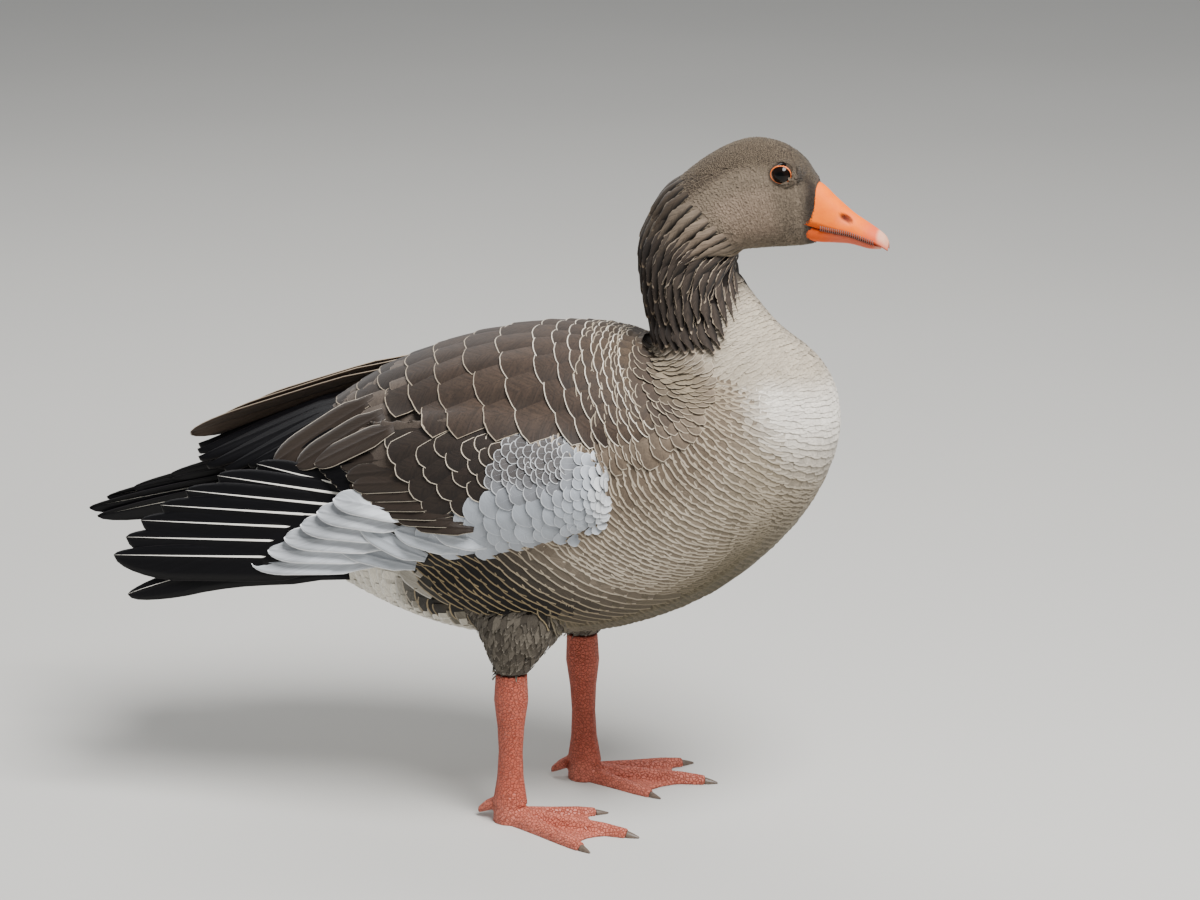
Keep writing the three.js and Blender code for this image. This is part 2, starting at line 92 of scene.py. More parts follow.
# A row of a folded wing is top x y z, lower x y z, bow and thickness, from the wrist backwards.
WRIST_TO_ELBOW = {
    "right": (
        (31, 78, 292, 31, 76, 274, 3, 8),
        (18, 82, 314, 22, 82, 248, 10, 18),
        (-20, 82, 326, -12, 84, 231, 14, 22),
        (-75, 82, 328, -70, 84, 217, 14, 22),
        (-130, 76, 320, -135, 82, 206, 13, 20),
        (-174, 57, 312, -190, 78, 198, 11, 15),
    ),
    "left": (
        (31, 78, 296, 31, 76, 278, 3, 8),
        (18, 82, 320, 22, 82, 254, 10, 18),
        (-20, 80, 332, -12, 84, 240, 14, 22),
        (-75, 78, 334, -70, 84, 230, 14, 22),
        (-130, 70, 328, -135, 80, 222, 13, 20),
        (-174, 52, 326, -190, 72, 218, 11, 15),
    ),
}

# How far the skin lies inside the solids, to leave room for the coat.
COAT_DEPTH = 3.0
NECK_DEPTH = 4.0
HEAD_DEPTH = 1.4
SKIN_GRAIN = 2.2
# How wide a feather's patch is on the bake map: small, large and scapular ones.
BAKE_PATCH = 0.003
COVERT_PATCH = 0.008
SCAPULAR_PATCH = 0.012

centre_of_eye = sum(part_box("eye_right"), Vector()) / 2
SHIFT = np.array(centre_of_eye) * 1000 - EYE * (1, RIGHT, 1)


def put_on_frame(points):
    return (np.asarray(points, float) + SHIFT) / 1000


def off_frame(points):
    return np.asarray(points, float) * 1000 - SHIFT


def colour(code):
    """A colour written as six hex digits, in linear light."""
    values = [int(code[i : i + 2], 16) / 255 for i in (0, 2, 4)]
    return np.array([v / 12.92 if v < 0.04045 else ((v + 0.055) / 1.055) ** 2.4 for v in values])


def ease(x, low, high):
    """A smooth step from 0 at low to 1 at high. With low over high it runs the other way."""
    s = np.clip((np.asarray(x, float) - low) / (high - low), 0, 1)
    return s * s * (3 - 2 * s)


def mix(first, second, share):
    share = np.asarray(share, float)[..., None]
    return first * (1 - share) + second * share


def unit(vectors):
    return vectors / np.maximum(np.linalg.norm(vectors, axis=-1, keepdims=True), 1e-9)


# ---------------------------------------------------------------- guide surfaces


def smooth_rows(rows, t):
    """Catmull-Rom through the rows, at any place t counted in rows."""
    rows = np.asarray(rows, float)
    last = len(rows) - 1
    t = np.clip(np.asarray(t, float), 0, last)
    i = np.minimum(t.astype(int), last - 1)
    f = (t - i)[..., None]
    full = np.vstack([2 * rows[0] - rows[1], rows, 2 * rows[-1] - rows[-2]])
    a, b, c, d = full[i], full[i + 1], full[i + 2], full[i + 3]
    return b + 0.5 * f * (c - a + f * (2 * a - 5 * b + 4 * c - d + f * (3 * (b - c) + d - a)))


def body_at(t, angle):
    """A point of the body's outline. The angle is in degrees from the back, negative on the right side."""
    t, angle = np.broadcast_arrays(np.asarray(t, float), np.asarray(angle, float))
    top_x, top_z, low_x, low_z, half, square = np.moveaxis(smooth_rows(BODY, t), -1, 0)
    mid_x, mid_z = (top_x + low_x) / 2, (top_z + low_z) / 2
    c, s = np.cos(np.radians(angle)), np.sin(np.radians(angle))
    up = np.sign(c) * np.abs(c) ** (2 / square)
    out = np.sign(s) * np.abs(s) ** (2 / square) * half
    return np.stack([mid_x + (top_x - mid_x) * up, out, mid_z + (top_z - mid_z) * up], -1)


def wing_at(side, u, v):
    """A point of the folded wing's outer face: u from the wrist backwards, v from its top edge down."""
    u, v = np.broadcast_arrays(np.asarray(u, float), np.asarray(v, float))
    row = smooth_rows(WRIST_TO_ELBOW[side], u)
    tx, ty, tz, lx, ly, lz, bow, thick = np.moveaxis(row, -1, 0)
    swell = np.sin(np.pi * np.clip(v, 0, 1))
    half = np.maximum(thick / 2 * swell**0.6, 0.6)
    return np.stack(
        [tx + (lx - tx) * v, SIDES[side] * (ty + (ly - ty) * v + bow * swell + half), tz + (lz - tz) * v],
        -1,
    )


def slope_along(surface, level, spread):
    """The way that a surface runs with its level, not to length."""
    return surface(level + 0.02, spread) - surface(level - 0.02, spread)


def slope_across(surface, level, spread):
    """The way that a surface runs across its levels, not to length."""
    return surface(level, spread + 0.01) - surface(level, spread - 0.01)


# ---------------------------------------------------------------- mesh making


def new_object(name, mesh):
    thing = bpy.data.objects.new(name, mesh)
    bpy.context.scene.collection.objects.link(thing)
    return thing


def smooth(mesh):
    mesh.polygons.foreach_set("use_smooth", np.ones(len(mesh.polygons), bool))


def mesh_from(name, points, faces):
    """A mesh from points in millimetres and faces that all have as many corners."""
    points = put_on_frame(points)
    faces = np.asarray(faces, np.int32)
    mesh = bpy.data.meshes.new(name)
    mesh.vertices.add(len(points))
    mesh.vertices.foreach_set("co", points.astype(np.float32).ravel())
    mesh.loops.add(faces.size)
    mesh.loops.foreach_set("vertex_index", faces.ravel())
    mesh.polygons.add(len(faces))
    mesh.polygons.foreach_set("loop_start", np.arange(0, faces.size, faces.shape[1], dtype=np.int32))
    mesh.update(calc_edges=True)
    smooth(mesh)
    return mesh


def grid_faces(count, rows, columns, wrap=False):
    """The quads of count sheets, each rows by columns points."""
    i = np.arange(rows - 1)[:, None]
    j = np.arange(columns if wrap else columns - 1)[None, :]
    k = (j + 1) % columns
    one = np.stack([i * columns + j, (i + 1) * columns + j, (i + 1) * columns + k, i * columns + k], -1)
    one = one.reshape(-1, 4)
    return (one[None] + (np.arange(count) * rows * columns)[:, None, None]).reshape(-1, 4)


def paint(mesh, name, values):
    """A colour for each point of the mesh."""
    values = np.asarray(values, np.float32)
    if values.shape[1] == 3:
        values = np.hstack([values, np.ones((len(values), 1), np.float32)])
    layer = mesh.color_attributes.new(name, "FLOAT_COLOR", "POINT")
    layer.data.foreach_set("color", values.ravel())


def unwrap(mesh, name, per_point):
    corners = np.empty(len(mesh.loops), np.int32)
    mesh.loops.foreach_get("vertex_index", corners)
    layer = mesh.uv_layers.new(name=name)
    layer.data.foreach_set("uv", np.asarray(per_point, np.float32)[corners].ravel())


def points_of(mesh):
    co = np.empty(len(mesh.vertices) * 3, np.float32)
    mesh.vertices.foreach_get("co", co)
    return co.reshape(-1, 3).astype(float)


def normals_of(mesh):
    found = np.empty(len(mesh.vertices) * 3, np.float32)
    mesh.vertex_normals.foreach_get("vector", found)
    return found.reshape(-1, 3).astype(float)


def capped(mesh):
    """The open ends of a mesh closed, its faces turned outwards."""
    build = bmesh.new()
    build.from_mesh(mesh)
    bmesh.ops.contextual_create(build, geom=[e for e in build.edges if e.is_boundary])
    bmesh.ops.recalc_face_normals(build, faces=build.faces)
    build.to_mesh(mesh)
    build.free()
    smooth(mesh)


def outward(thing):
    """The object with its doubles merged and its faces turned outwards."""
    build = bmesh.new()
    build.from_mesh(thing.data)
    bmesh.ops.remove_doubles(build, verts=build.verts, dist=1e-6)
    bmesh.ops.recalc_face_normals(build, faces=build.faces)
    build.to_mesh(thing.data)
    build.free()
    smooth(thing.data)
    return thing


def finished(thing):
    """The object with its modifiers made part of its mesh."""
    bpy.context.view_layer.update()
    mesh = bpy.data.meshes.new_from_object(thing.evaluated_get(bpy.context.evaluated_depsgraph_get()))
    thing.modifiers.clear()
    thing.data = mesh
    return thing


def wear(thing, material, slot, *replaced):
    """Gives a finished piece its one material and puts it on the root body, in place of the solids named."""
    thing.data.materials.clear()
    thing.data.materials.append(material)
    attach(thing, "root")
    if replaced:
        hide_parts(*replaced)


def merged_nodes(name, nodes, grow, grain, rounds):
    """One closed mesh round several solids: grown until they meet, remeshed and smoothed."""
    build = bmesh.new()
    for node in nodes:
        part = bmesh.new()
        part.from_mesh(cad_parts[node].data)
        bmesh.ops.remove_doubles(part, verts=part.verts, dist=1e-5)
        part.normal_update()
        for v in part.verts:
            v.co += v.normal * grow / 1000
        copy = bpy.data.meshes.new("part")
        part.to_mesh(copy)
        part.free()
        build.from_mesh(copy)
        bpy.data.meshes.remove(copy)
    mesh = bpy.data.meshes.new(name)
    build.to_mesh(mesh)
    build.free()
    thing = new_object(name, mesh)
    remesh = thing.modifiers.new("remesh", "REMESH")
    remesh.mode = "VOXEL"
    remesh.voxel_size = grain / 1000
    remesh.use_smooth_shade = True
    soften = thing.modifiers.new("soften", "SMOOTH")
    soften.factor = 0.5
    soften.iterations = rounds
    return finished(thing)


# ---------------------------------------------------------------- materials


class Finish:
    """A material under construction: a Principled shader and short calls that add nodes to it."""

    def __init__(self, name, roughness, specular=0.3, **constants):
        self.material = bpy.data.materials.new(name)
        self.material.use_nodes = True
        self.tree = self.material.node_tree
        self.shader = self.tree.nodes["Principled BSDF"]
        self.shader.inputs["Roughness"].default_value = roughness
        self.shader.inputs["Specular IOR Level"].default_value = specular
        for socket, value in constants.items():
            self.shader.inputs[socket.replace("_", " ")].default_value = value

    def give(self, socket, value):
        if isinstance(value, bpy.types.NodeSocket):
            self.tree.links.new(value, socket)
        elif isinstance(value, np.ndarray):
            socket.default_value = (*value, 1) if len(socket.default_value) == 4 else tuple(value)
        else:
            socket.default_value = value

    def node(self, kind, settings=None, **inputs):
        made = self.tree.nodes.new(kind)
        for key, value in (settings or {}).items():
            setattr(made, key, value)
        for key, value in inputs.items():
            self.give(made.inputs[key.replace("_", " ")], value)
        return made

    def maths(self, operation, first, second=0.0, third=0.0):
        made = self.tree.nodes.new("ShaderNodeMath")
        made.operation = operation
        for socket, value in zip(made.inputs, (first, second, third)):
            self.give(socket, value)
        return made.outputs[0]

    def step(self, value, low, high, to_low=0.0, to_high=1.0):
        made = self.node("ShaderNodeMapRange", {"interpolation_type": "SMOOTHSTEP"})
        for socket, given in zip(made.inputs, (value, low, high, to_low, to_high)):
            self.give(socket, given)
        return made.outputs[0]

    def blend(self, share, first, second, kind="MIX"):
        made = self.node("ShaderNodeMix", {"data_type": "RGBA", "blend_type": kind, "clamp_factor": True})
        self.give(made.inputs[0], share)
        self.give(made.inputs[6], first)
        self.give(made.inputs[7], second)
        return made.outputs[2]

    def attribute(self, name):
        return self.node("ShaderNodeAttribute", {"attribute_name": name, "attribute_type": "GEOMETRY"})

    def place(self):
        return self.node("ShaderNodeTexCoord").outputs["Object"]

    def noise(self, scale, detail=3.0, vector=None, roughness=0.55):
        vector = self.place() if vector is None else vector
        sizes = dict(Scale=scale, Detail=detail, Roughness=roughness)
        return self.node("ShaderNodeTexNoise", Vector=vector, **sizes).outputs[0]

    def split(self, vector):
        return self.node("ShaderNodeSeparateXYZ", Vector=vector).outputs

    def join(self, x, y, z):
        return self.node("ShaderNodeCombineXYZ", X=x, Y=y, Z=z).outputs[0]

    def bump(self, height, strength, distance):
        made = self.node("ShaderNodeBump", Height=height, Strength=strength, Distance=distance)
        self.tree.links.new(made.outputs[0], self.shader.inputs["Normal"])

    def paint(self, value):
        self.give(self.shader.inputs["Base Color"], value)
        return self.material


def plume_finish(
    name,
    roughness=0.75,
    shaft=0.0,
    shaft_colour=None,
    streak=0.3,
    mottle=0.15,
    rim=0.8,
    tip=1.0,
    bar=(0.45, 0.8),
    shine=0.25,
    fray=1.0,
    hollow=0.0,
    sheen=0.1,
):
    """A vane's finish from its own map: barb streaks, a bar before the tip, a pale margin and a shaft, and
    painted shade over one half where hollow is given.

    rim, tip and fray are millimetres: the width of the pale margin along the sides and over the tip, and how
    far its inner line wanders.
    """
    f = Finish(name, roughness, shine, Sheen_Weight=sheen, Sheen_Roughness=0.5)
    u, v, _ = f.split(f.node("ShaderNodeUVMap", {"uv_map": "vane"}).outputs[0])
    marks = f.attribute("marks")
    edge = f.attribute("edge")
    bar_share, rim_share, seed = f.node("ShaderNodeSeparateColor", Color=marks.outputs["Color"]).outputs
    per_length, per_half = marks.outputs["Alpha"], edge.outputs["Alpha"]
    across = f.maths("MULTIPLY", f.maths("ABSOLUTE", f.maths("SUBTRACT", u, 0.5)), 2.0)
    slant = f.maths("SUBTRACT", v, f.maths("MULTIPLY", across, 0.3))
    lane = f.join(
        f.maths("MULTIPLY", u, 2.5), f.maths("MULTIPLY", slant, 22.0), f.maths("MULTIPLY", seed, 60.0)
    )
    barbs = f.noise(1.0, 3.0, lane, 0.65)
    wander = f.maths("MULTIPLY", f.maths("SUBTRACT", barbs, 0.5), 2.0 * fray)

    def margin(from_edge, width, per_mm):
        reach = f.maths("SUBTRACT", f.maths("DIVIDE", f.maths("SUBTRACT", 1.0, from_edge), per_mm), wander)
        return f.step(reach, width, width * 0.5)

    tint = f.attribute("tint").outputs["Color"]
    base = f.blend(f.step(barbs, 0.3, 0.7, 0.0, streak), tint, colour("000000"))
    if mottle:
        spots = f.step(f.noise(520.0, 2.0), 0.45, 0.7, 0.0, mottle)
        base = f.blend(spots, base, colour("100c0a"))
    # Painted shade: hollow darkens the vane's half towards u = 0, the sunk edge of a twisted lock, nearly to
    # black.
    if hollow:
        base = f.blend(f.step(u, 0.6, 0.08, 0.0, hollow), base, colour("0c0806"))
    wavy = f.maths("ADD", v, f.maths("MULTIPLY", wander, per_length))
    band = f.maths("MULTIPLY", f.step(wavy, *bar), bar_share)
    base = f.blend(band, base, f.blend(0.75, base, colour("000000")))
    pale = margin(v, tip, per_length)
    if rim:
        pale = f.maths("MAXIMUM", margin(across, rim, per_half), pale)
    base = f.blend(f.maths("MULTIPLY", pale, rim_share), base, edge.outputs["Color"])
    if shaft:
        thin = f.maths("MULTIPLY", f.maths("SUBTRACT", 1.12, v), shaft)
        line = f.step(f.maths("DIVIDE", across, thin), 1.0, 0.6)
        base = f.blend(line, base, shaft_colour)
    f.bump(barbs, 0.35, 0.0006)
    return f.paint(base)


# ---------------------------------------------------------------- feathers


def vane(**changes):
    """The shape of one kind of feather. Heights are millimetres over the skin, the rest are shares.

    waist is the root's breadth, camber the crown across it, and twist lifts one edge over the other.
    """
    shape = dict(
        columns=5,
        rows=5,
        waist=0.5,
        round_tip=0.7,
        point=0.0,
        camber=0.12,
        ragged=0.06,
        root_height=0.2,
        tip_height=2.6,
        height_jitter=0.25,
        fray=0.0,
        twist=0.0,
        rise=1.0,
    )
    shape.update(changes)
    return shape


def rows_over(surface, levels, spread, pitch, gap, seed):
    """Places in staggered rows. pitch and gap give the step along and across, in millimetres, at each place.

    Rows lie on the levels. Where levels crowd together only every second, fourth or eighth one is used.
    """
    rng = np.random.default_rng(seed)
    samples = np.linspace(spread[0], spread[1], 240)
    found = []
    step = levels[1] - levels[0]
    for i, level in enumerate(levels):
        here = surface(level, samples)
        apart = np.linalg.norm(surface(level + step, samples) - here, axis=-1)
        stride = 2 ** np.maximum(np.round(np.log2(pitch(level, samples) / np.maximum(apart, 0.05))), 0)
        spaces = np.broadcast_to(gap(level, samples), samples.shape)
        steps = np.linalg.norm(np.diff(here, axis=0), axis=-1) / spaces[1:]
        count = np.concatenate([[0], np.cumsum(steps)])
        for parity in (0, 1):
            wanted = np.arange(0.25 + 0.5 * parity, count[-1], 1.0)
            wanted = wanted + rng.uniform(-0.16, 0.16, len(wanted))
            spot = np.interp(wanted, count, samples)
            own = np.interp(spot, samples, stride)
            own = 2 ** np.round(np.log2(own))
            keep = (i % own == 0) & ((i // own) % 2 == parity)
            spot, own = spot[keep], own[keep]
            run = np.interp(spot, samples, apart) * own
            lift = level + rng.uniform(-0.12, 0.12, len(spot)) * step * own
            found.append(np.stack([lift, spot, run, np.broadcast_to(gap(level, spot), spot.shape)], -1))
    return np.vstack(found)


def feather_rows(surface, rows, seed):
    """Places for rows of feathers by the lines that their tips lie on.

    A row is its level, where it starts and ends across, and a feather's breadth. Feathers lie square to
    their row. Returns their levels, places across, tips, lies, lengths and breadths.
    """
    rng = np.random.default_rng(seed)
    found = []
    loose = 0.16 if len(rows) > 18 else 0.08
    for k, (level, low, high, breadth) in enumerate(rows):
        ahead = rows[k + 1][0] if k + 1 < len(rows) else 2 * level - rows[k - 1][0]
        samples = np.linspace(low, high, 80)
        line = surface(level, samples)
        run = np.concatenate([[0], np.cumsum(np.linalg.norm(np.diff(line, axis=0), axis=-1))])
        first, last = breadth * (0.1 + 0.42 * (k % 2)), run[-1] - 0.5 * breadth
        count = max(int(round((last - first) / (0.92 * breadth))), 1) + 1
        spots = np.linspace(first, last, count) + rng.uniform(-0.04, 0.04, count) * breadth
        found += [(level, ahead, place, breadth) for place in np.interp(spots, run, samples)]
    level, ahead, across, breadth = np.array(found).T
    level = level + rng.uniform(-loose, loose, len(level)) * np.abs(ahead - level)
    tips = surface(level, across)
    nudge = (rows[0][2] - rows[0][1]) * 0.01
    line = unit(surface(level, across + nudge) - surface(level, across - nudge))
    exposed = surface(ahead, across) - tips
    exposed = exposed - line * np.sum(exposed * line, -1, keepdims=True)
    length = np.clip(np.linalg.norm(exposed, axis=-1) * 2.0 + 8, 16, 62)
    return level, across, tips, -unit(exposed), length, breadth


def lay(name, places, roots, lies, length, width, shape, paints, material, slot, seed, **how):
    """Feathers laid over the skin. Each is a curved sheet that follows the skin from its root along its lie.

    Given ends, each feather bends sideways towards its own end point. Given a tree, they lie on that
    surface. patch is how wide each one is on the bake map.
    """
    tree = how.get("tree")
    rng = np.random.default_rng(seed)
    count = len(roots)
    columns, rows = shape["columns"], shape["rows"]
    a, b = np.meshgrid(np.linspace(-1, 1, columns), np.linspace(0, 1, rows))
    _, out = ground_under(roots, tree=tree)
    lies = unit(lies - out * np.sum(lies * out, -1, keepdims=True))
    across = np.cross(lies, out)
    length = np.broadcast_to(length, count)[:, None, None]
    half = np.broadcast_to(width, count)[:, None, None] / 2
    jag = rng.uniform(-1, 0, (count, 1, columns)) * shape["ragged"] * length * b**4
    along = length * b - shape["round_tip"] * half * np.abs(a) ** 2.2 * b**2 + jag
    taper = shape["waist"] + (1 - shape["waist"]) * ease(b, 0, 0.45)
    taper = taper * (1 - shape["point"] * ease(b, 0.4, 1))
    frayed = 1 + shape["fray"] * rng.uniform(-1, 1, (count, rows, columns)) * np.abs(a) ** 3
    sideways = half * a * taper * frayed
    if "ends" in how:
        bend = np.sum((how["ends"] - roots - lies * length[:, 0]) * across, -1)
        sideways = sideways + bend[:, None, None] * b**2
    flat = roots[:, None, None] + lies[:, None, None] * along[..., None]
    flat = flat + across[:, None, None] * sideways[..., None]
    ground, normal = ground_under(flat.reshape(-1, 3), reach=0.3 * float(np.mean(length)) + 3, tree=tree)
    own = rng.uniform(-1, 1, (count, 1, 1)) * shape["height_jitter"]
    tip_height = np.broadcast_to(shape["tip_height"], count)[:, None, None]
    height = shape["root_height"] + (tip_height - shape["root_height"]) * b ** shape["rise"] + own * b
    height = height + shape["camber"] * 2 * half * (1 - a**2) * ease(b, 0, 0.3) * taper
    height = height + shape["twist"] * half * a * ease(b, 0.1, 0.5)
    points = ground + normal * height.reshape(-1)[:, None]
    mesh = mesh_from(name, points, grid_faces(count, rows, columns)[:, ::-1])
    raised = -1 if shape["twist"] < 0 else 1
    own_map = np.stack([(raised * a + 1) / 2, b], -1).reshape(-1, 2)
    unwrap(mesh, "vane", np.tile(own_map, (count, 1)))
    per = rows * columns
    patch = np.tile((own_map - 0.5) * how.get("patch", BAKE_PATCH), (count, 1))
    unwrap(mesh, "OFBake", np.repeat(places, per, axis=0) + patch)
    paint_feathers(mesh, paints, half.ravel(), length.ravel(), per, rng)
    wear(new_object(name, mesh), material, slot)


def paint_feathers(mesh, paints, half, length, per, rng):
    """A feather's colours and marks on each of its points. The alphas tell its half width and its length."""
    count = len(paints["bar"])
    shade = rng.uniform(0.88, 1.12, (count, 1))
    paint(mesh, "tint", np.repeat(np.clip(paints["tint"] * shade, 0, 1), per, axis=0))
    edge = np.hstack([paints["edge"], 1 / np.broadcast_to(half, count)[:, None]])
    paint(mesh, "edge", np.repeat(edge, per, axis=0))
    rim = paints["rim"] * rng.uniform(0.7, 1, count)
    own_seed = rng.uniform(0, 1, count)
    marks = np.stack([paints["bar"], rim, own_seed, 1 / np.broadcast_to(length, count)], -1)
    paint(mesh, "marks", np.repeat(marks, per, axis=0))


def ground_under(points, reach=None, tree=None):
    """The skin's nearest points and outward normals. Past reach, a point over the edge stays where it is."""
    tree = skin_tree if tree is None else tree
    spots = np.empty((len(points), 3))
    normals = np.empty((len(points), 3))
    for i, p in enumerate(points):
        spot, normal, _, _ = tree.find_nearest(p)
        spots[i] = spot
        normals[i] = normal
    if reach is not None:
        gap = np.linalg.norm(points - spots, axis=-1)
        over = np.sum((points - spots) * normals, -1) > 0
        stay = ease(gap, reach, 2 * reach) * over
        spots = mix(spots, points, stay)
    return spots, normals


# A probing line starts this deep inside the body and reaches this far. A spot needs this much room above it.
PROBE_DEPTH = 9.0
PROBE_REACH = 60.0
HEADROOM = 8.0
PROBE_STEP = 0.05


def skin_over(points, out):
    """Where a line from just inside the body outwards leaves the skin, and how far out that is."""
    spots = np.array(points, float)
    rise = np.zeros(len(points))
    for i, (p, n) in enumerate(zip(points, out)):
        origin = Vector(p - n * PROBE_DEPTH)
        travelled = 0.0
        for _ in range(4):
            hit, normal, _, distance = skin_tree.ray_cast(origin, Vector(n), PROBE_REACH)
            if hit is None:
                break
            travelled += distance
            spots[i] = hit
            rise[i] = travelled - PROBE_DEPTH
            origin = hit + Vector(n) * PROBE_STEP
            travelled += PROBE_STEP
            if normal.dot(Vector(n)) > 0 and skin_tree.ray_cast(origin, Vector(n), HEADROOM)[0] is None:
                break
    return spots, rise


# ---------------------------------------------------------------- markings

GREY_BROWN = colour("756758")
CROWN = colour("43382d")
CHEEK = colour("8c7968")
SMUDGE = colour("3b3027")
# Painted shade for the skin in the neck's furrows.
FURROW_SHADE = colour("140e0b")
RIDGE = colour("3f352d")
RIDGE_TIP = colour("a4937f")
HIND_NECK = colour("332a24")
LIT_CREAM = colour("f4ecdf")
BREAST = colour("ab9b87")
BREAST_TIP = colour("dfd2bd")
SIDE = colour("8f7e6b")
BELLY_IN_SHADE = colour("5a513a")
FLANK = colour("1a130e")
FLANK_TIP = colour("998765")
VENT = colour("e2dccd")
MANTLE = colour("4b3e33")
MANTLE_TIP = colour("c4b49c")
RUMP = colour("5d5249")
SILVER = colour("adb3bb")
SILVER_SHADE = colour("453f3c")
WHITE = colour("f1f1ef")
BLACK = colour("08070a")


def lock_hem(angle):
    """How far down the neck the furrowed feathers reach, at an angle from the back."""
    around = (0, 30, 75, 92, 115, 142, 180)
    return np.interp(np.abs(angle), around, (9.7, 9.8, 10.3, 10.5, 11.3, 11.9, 12.5))


def forwards(angle):
    """How far forwards a flank row has run at an angle."""
    return 1.1 * (angle - 106) / 36


def body_paints(t, angle):
    """The coat's colours at places of the body, for the skin and for the feathers that grow there."""
    a = np.abs(angle)
    n = len(t)
    tint = np.tile(BREAST, (n, 1))
    edge = np.tile(BREAST_TIP, (n, 1))
    bar = np.full(n, 0.55)
    rim = np.full(n, 0.75)

    def lay_on(mask, tone, tip, bars, rims):
        nonlocal tint, edge, bar, rim
        tint = mix(tint, tone, mask)
        edge = mix(edge, tip, mask)
        bar = bar * (1 - mask) + bars * mask
        rim = rim * (1 - mask) + rims * mask

    # The lower breast, the belly with painted shade under the body, its rear, the front with painted light,
    # the side below the neck and the neck's foot.
    lay_on(ease(a, 90, 120) * ease(t, 5.0, 7.6), colour("9f917b"), colour("c6b8a2"), 0.4, 0.5)
    # The belly's grey-brown, darkened for the shade under the body: painted shade.
    lay_on(ease(a, 122, 152) * ease(t, 8.0, 6.2), BELLY_IN_SHADE, colour("736850"), 0.35, 0.35)
    lay_on(ease(a, 122, 150) * ease(t, 4.9, 4.2), colour("7c725a"), colour("978c75"), 0.2, 0.4)
    # The front's cream, brightened for the light falling on it: painted light.
    lay_on(ease(a, 88, 118) * ease(t, 7.6, 9.0), LIT_CREAM, colour("ebe3d6"), 0.08, 0.3)
    lay_on(ease(a, 60, 68) * ease(a, 112, 86) * ease(t, 10.4, 9.2), SIDE, colour("baa98f"), 0.5, 0.6)
    lay_on(ease(t, 9.2, 10.2) * ease(a, 62, 90), colour("bdb09b"), colour("d3c8b6"), 0.05, 0.2)
    # The side before the wing, and the barred flank behind it.
    shoulder = ease(a, 110, 76) * ease(a, 52, 60) * ease(t, 8.6, 6.8)
    lay_on(shoulder, colour("806f5d"), colour("cfc1ac"), 0.6, 0.7)
    flank = ease(t - forwards(a), 4.8, 3.3) * ease(t, 2.2, 2.7)
    lay_on(flank * ease(a, 86, 96) * ease(a, 148, 134), FLANK, FLANK_TIP, 0.9, 0.95)
    # White under the tail: its side, its upper edge, the tail's root, and forwards between the legs.
    lay_on(ease(t, 2.9, 2.2) * ease(a, 112, 126), VENT, WHITE, 0.0, 0.4)
    lay_on(ease(t, 2.6, 2.3) * ease(a, 86, 94), VENT, WHITE, 0.0, 0.3)
    lay_on(ease(t, 1.6, 1.0) * ease(a, 60, 90), VENT, WHITE, 0.0, 0.4)
    lay_on(ease(t, 3.9, 3.0) * ease(a, 138, 152), VENT, WHITE, 0.0, 0.4)
    # The back: mantle, the neck's foot, the strip under the wing, the rump, and white over the tail.
    lay_on(ease(a, 74, 60) * ease(t, 9.6, 8.2) * ease(t, 4.0, 4.4), MANTLE, MANTLE_TIP, 0.3, 0.75)
    neck_foot = ease(a, 80, 60) * ease(t, 7.6, 8.8) * ease(t, 10.4, 9.4)
    lay_on(neck_foot, colour("95866f"), colour("b3a48d"), 0.2, 0.3)
    lay_on(ease(a, 98, 88) * ease(a, 50, 58) * ease(t, 4.8, 4.4), MANTLE, MANTLE, 0.2, 0.2)
    lay_on(ease(a, 80, 62) * ease(t, 4.4, 4.0), RUMP, colour("8d8072"), 0.1, 0.4)
    lay_on(ease(t, 0.9, 0.4) * ease(a, 90, 70), WHITE, WHITE, 0.0, 0.2)
    # The neck's locks, darker behind.
    locks = ease(t - lock_hem(a), 0.0, 1.1)
    lay_on(locks, RIDGE, RIDGE_TIP, 0.3, 0.8)
    lay_on(locks * ease(a, 100, 35), HIND_NECK, colour("7d6c58"), 0.3, 0.7)
    # The head: ground colour, crown, cheek, chin, and the smudge round the bill.
    lay_on(ease(t, 15.6, 16.3), GREY_BROWN, colour("94866f"), 0.0, 0.3)
    lay_on(ease(t, 15.4, 16.4) * ease(a, 66, 48), CROWN, colour("8a7b66"), 0.15, 0.5)
    cheek = ease(t, 16.4, 17.4) * ease(t, 20.2, 19.2) * ease(a, 72, 92) * ease(a, 142, 122)
    lay_on(cheek, CHEEK, colour("a5957d"), 0.0, 0.25)
    lay_on(ease(t, 16.0, 17.0) * ease(a, 140, 165), colour("6f6250"), colour("8a7c68"), 0.0, 0.3)
    lay_on(ease(t, 21.2, 21.8) * ease(a, 30, 50), SMUDGE, colour("63574b"), 0.0, 0.2)
    return {"tint": tint, "edge": edge, "bar": bar, "rim": rim}


def flat_paints(count, tint, edge, bar, rim):
    """The same paints for every feather, or one colour each where a table of them is given."""
    return {
        "tint": np.tile(tint, (count, 1)) if np.ndim(tint) == 1 else tint,
        "edge": np.tile(edge, (count, 1)) if np.ndim(edge) == 1 else edge,
        "bar": np.broadcast_to(bar, count).astype(float),
        "rim": np.broadcast_to(rim, count).astype(float),
    }


# ---------------------------------------------------------------- the skin

SKIN_NODES = ("head", "neck_upper", "neck_lower", "trunk", "tail", "wing_right_arm", "wing_left_arm")
SKIN_NODES += ("thigh_right", "thigh_left")


def nearest_station(points):
    """For each point the body place (t, angle) next to it."""
    t, angle = np.meshgrid(np.linspace(0, BILL_BASE, 177), np.linspace(-180, 177, 120), indexing="ij")
    t, angle = t.ravel(), angle.ravel()
    tree = KDTree(len(t))
    for i, p in enumerate(body_at(t, angle)):
        tree.insert(p, i)
    tree.balance()
    found = np.array([tree.find(p)[1] for p in points])
    return t[found], angle[found]


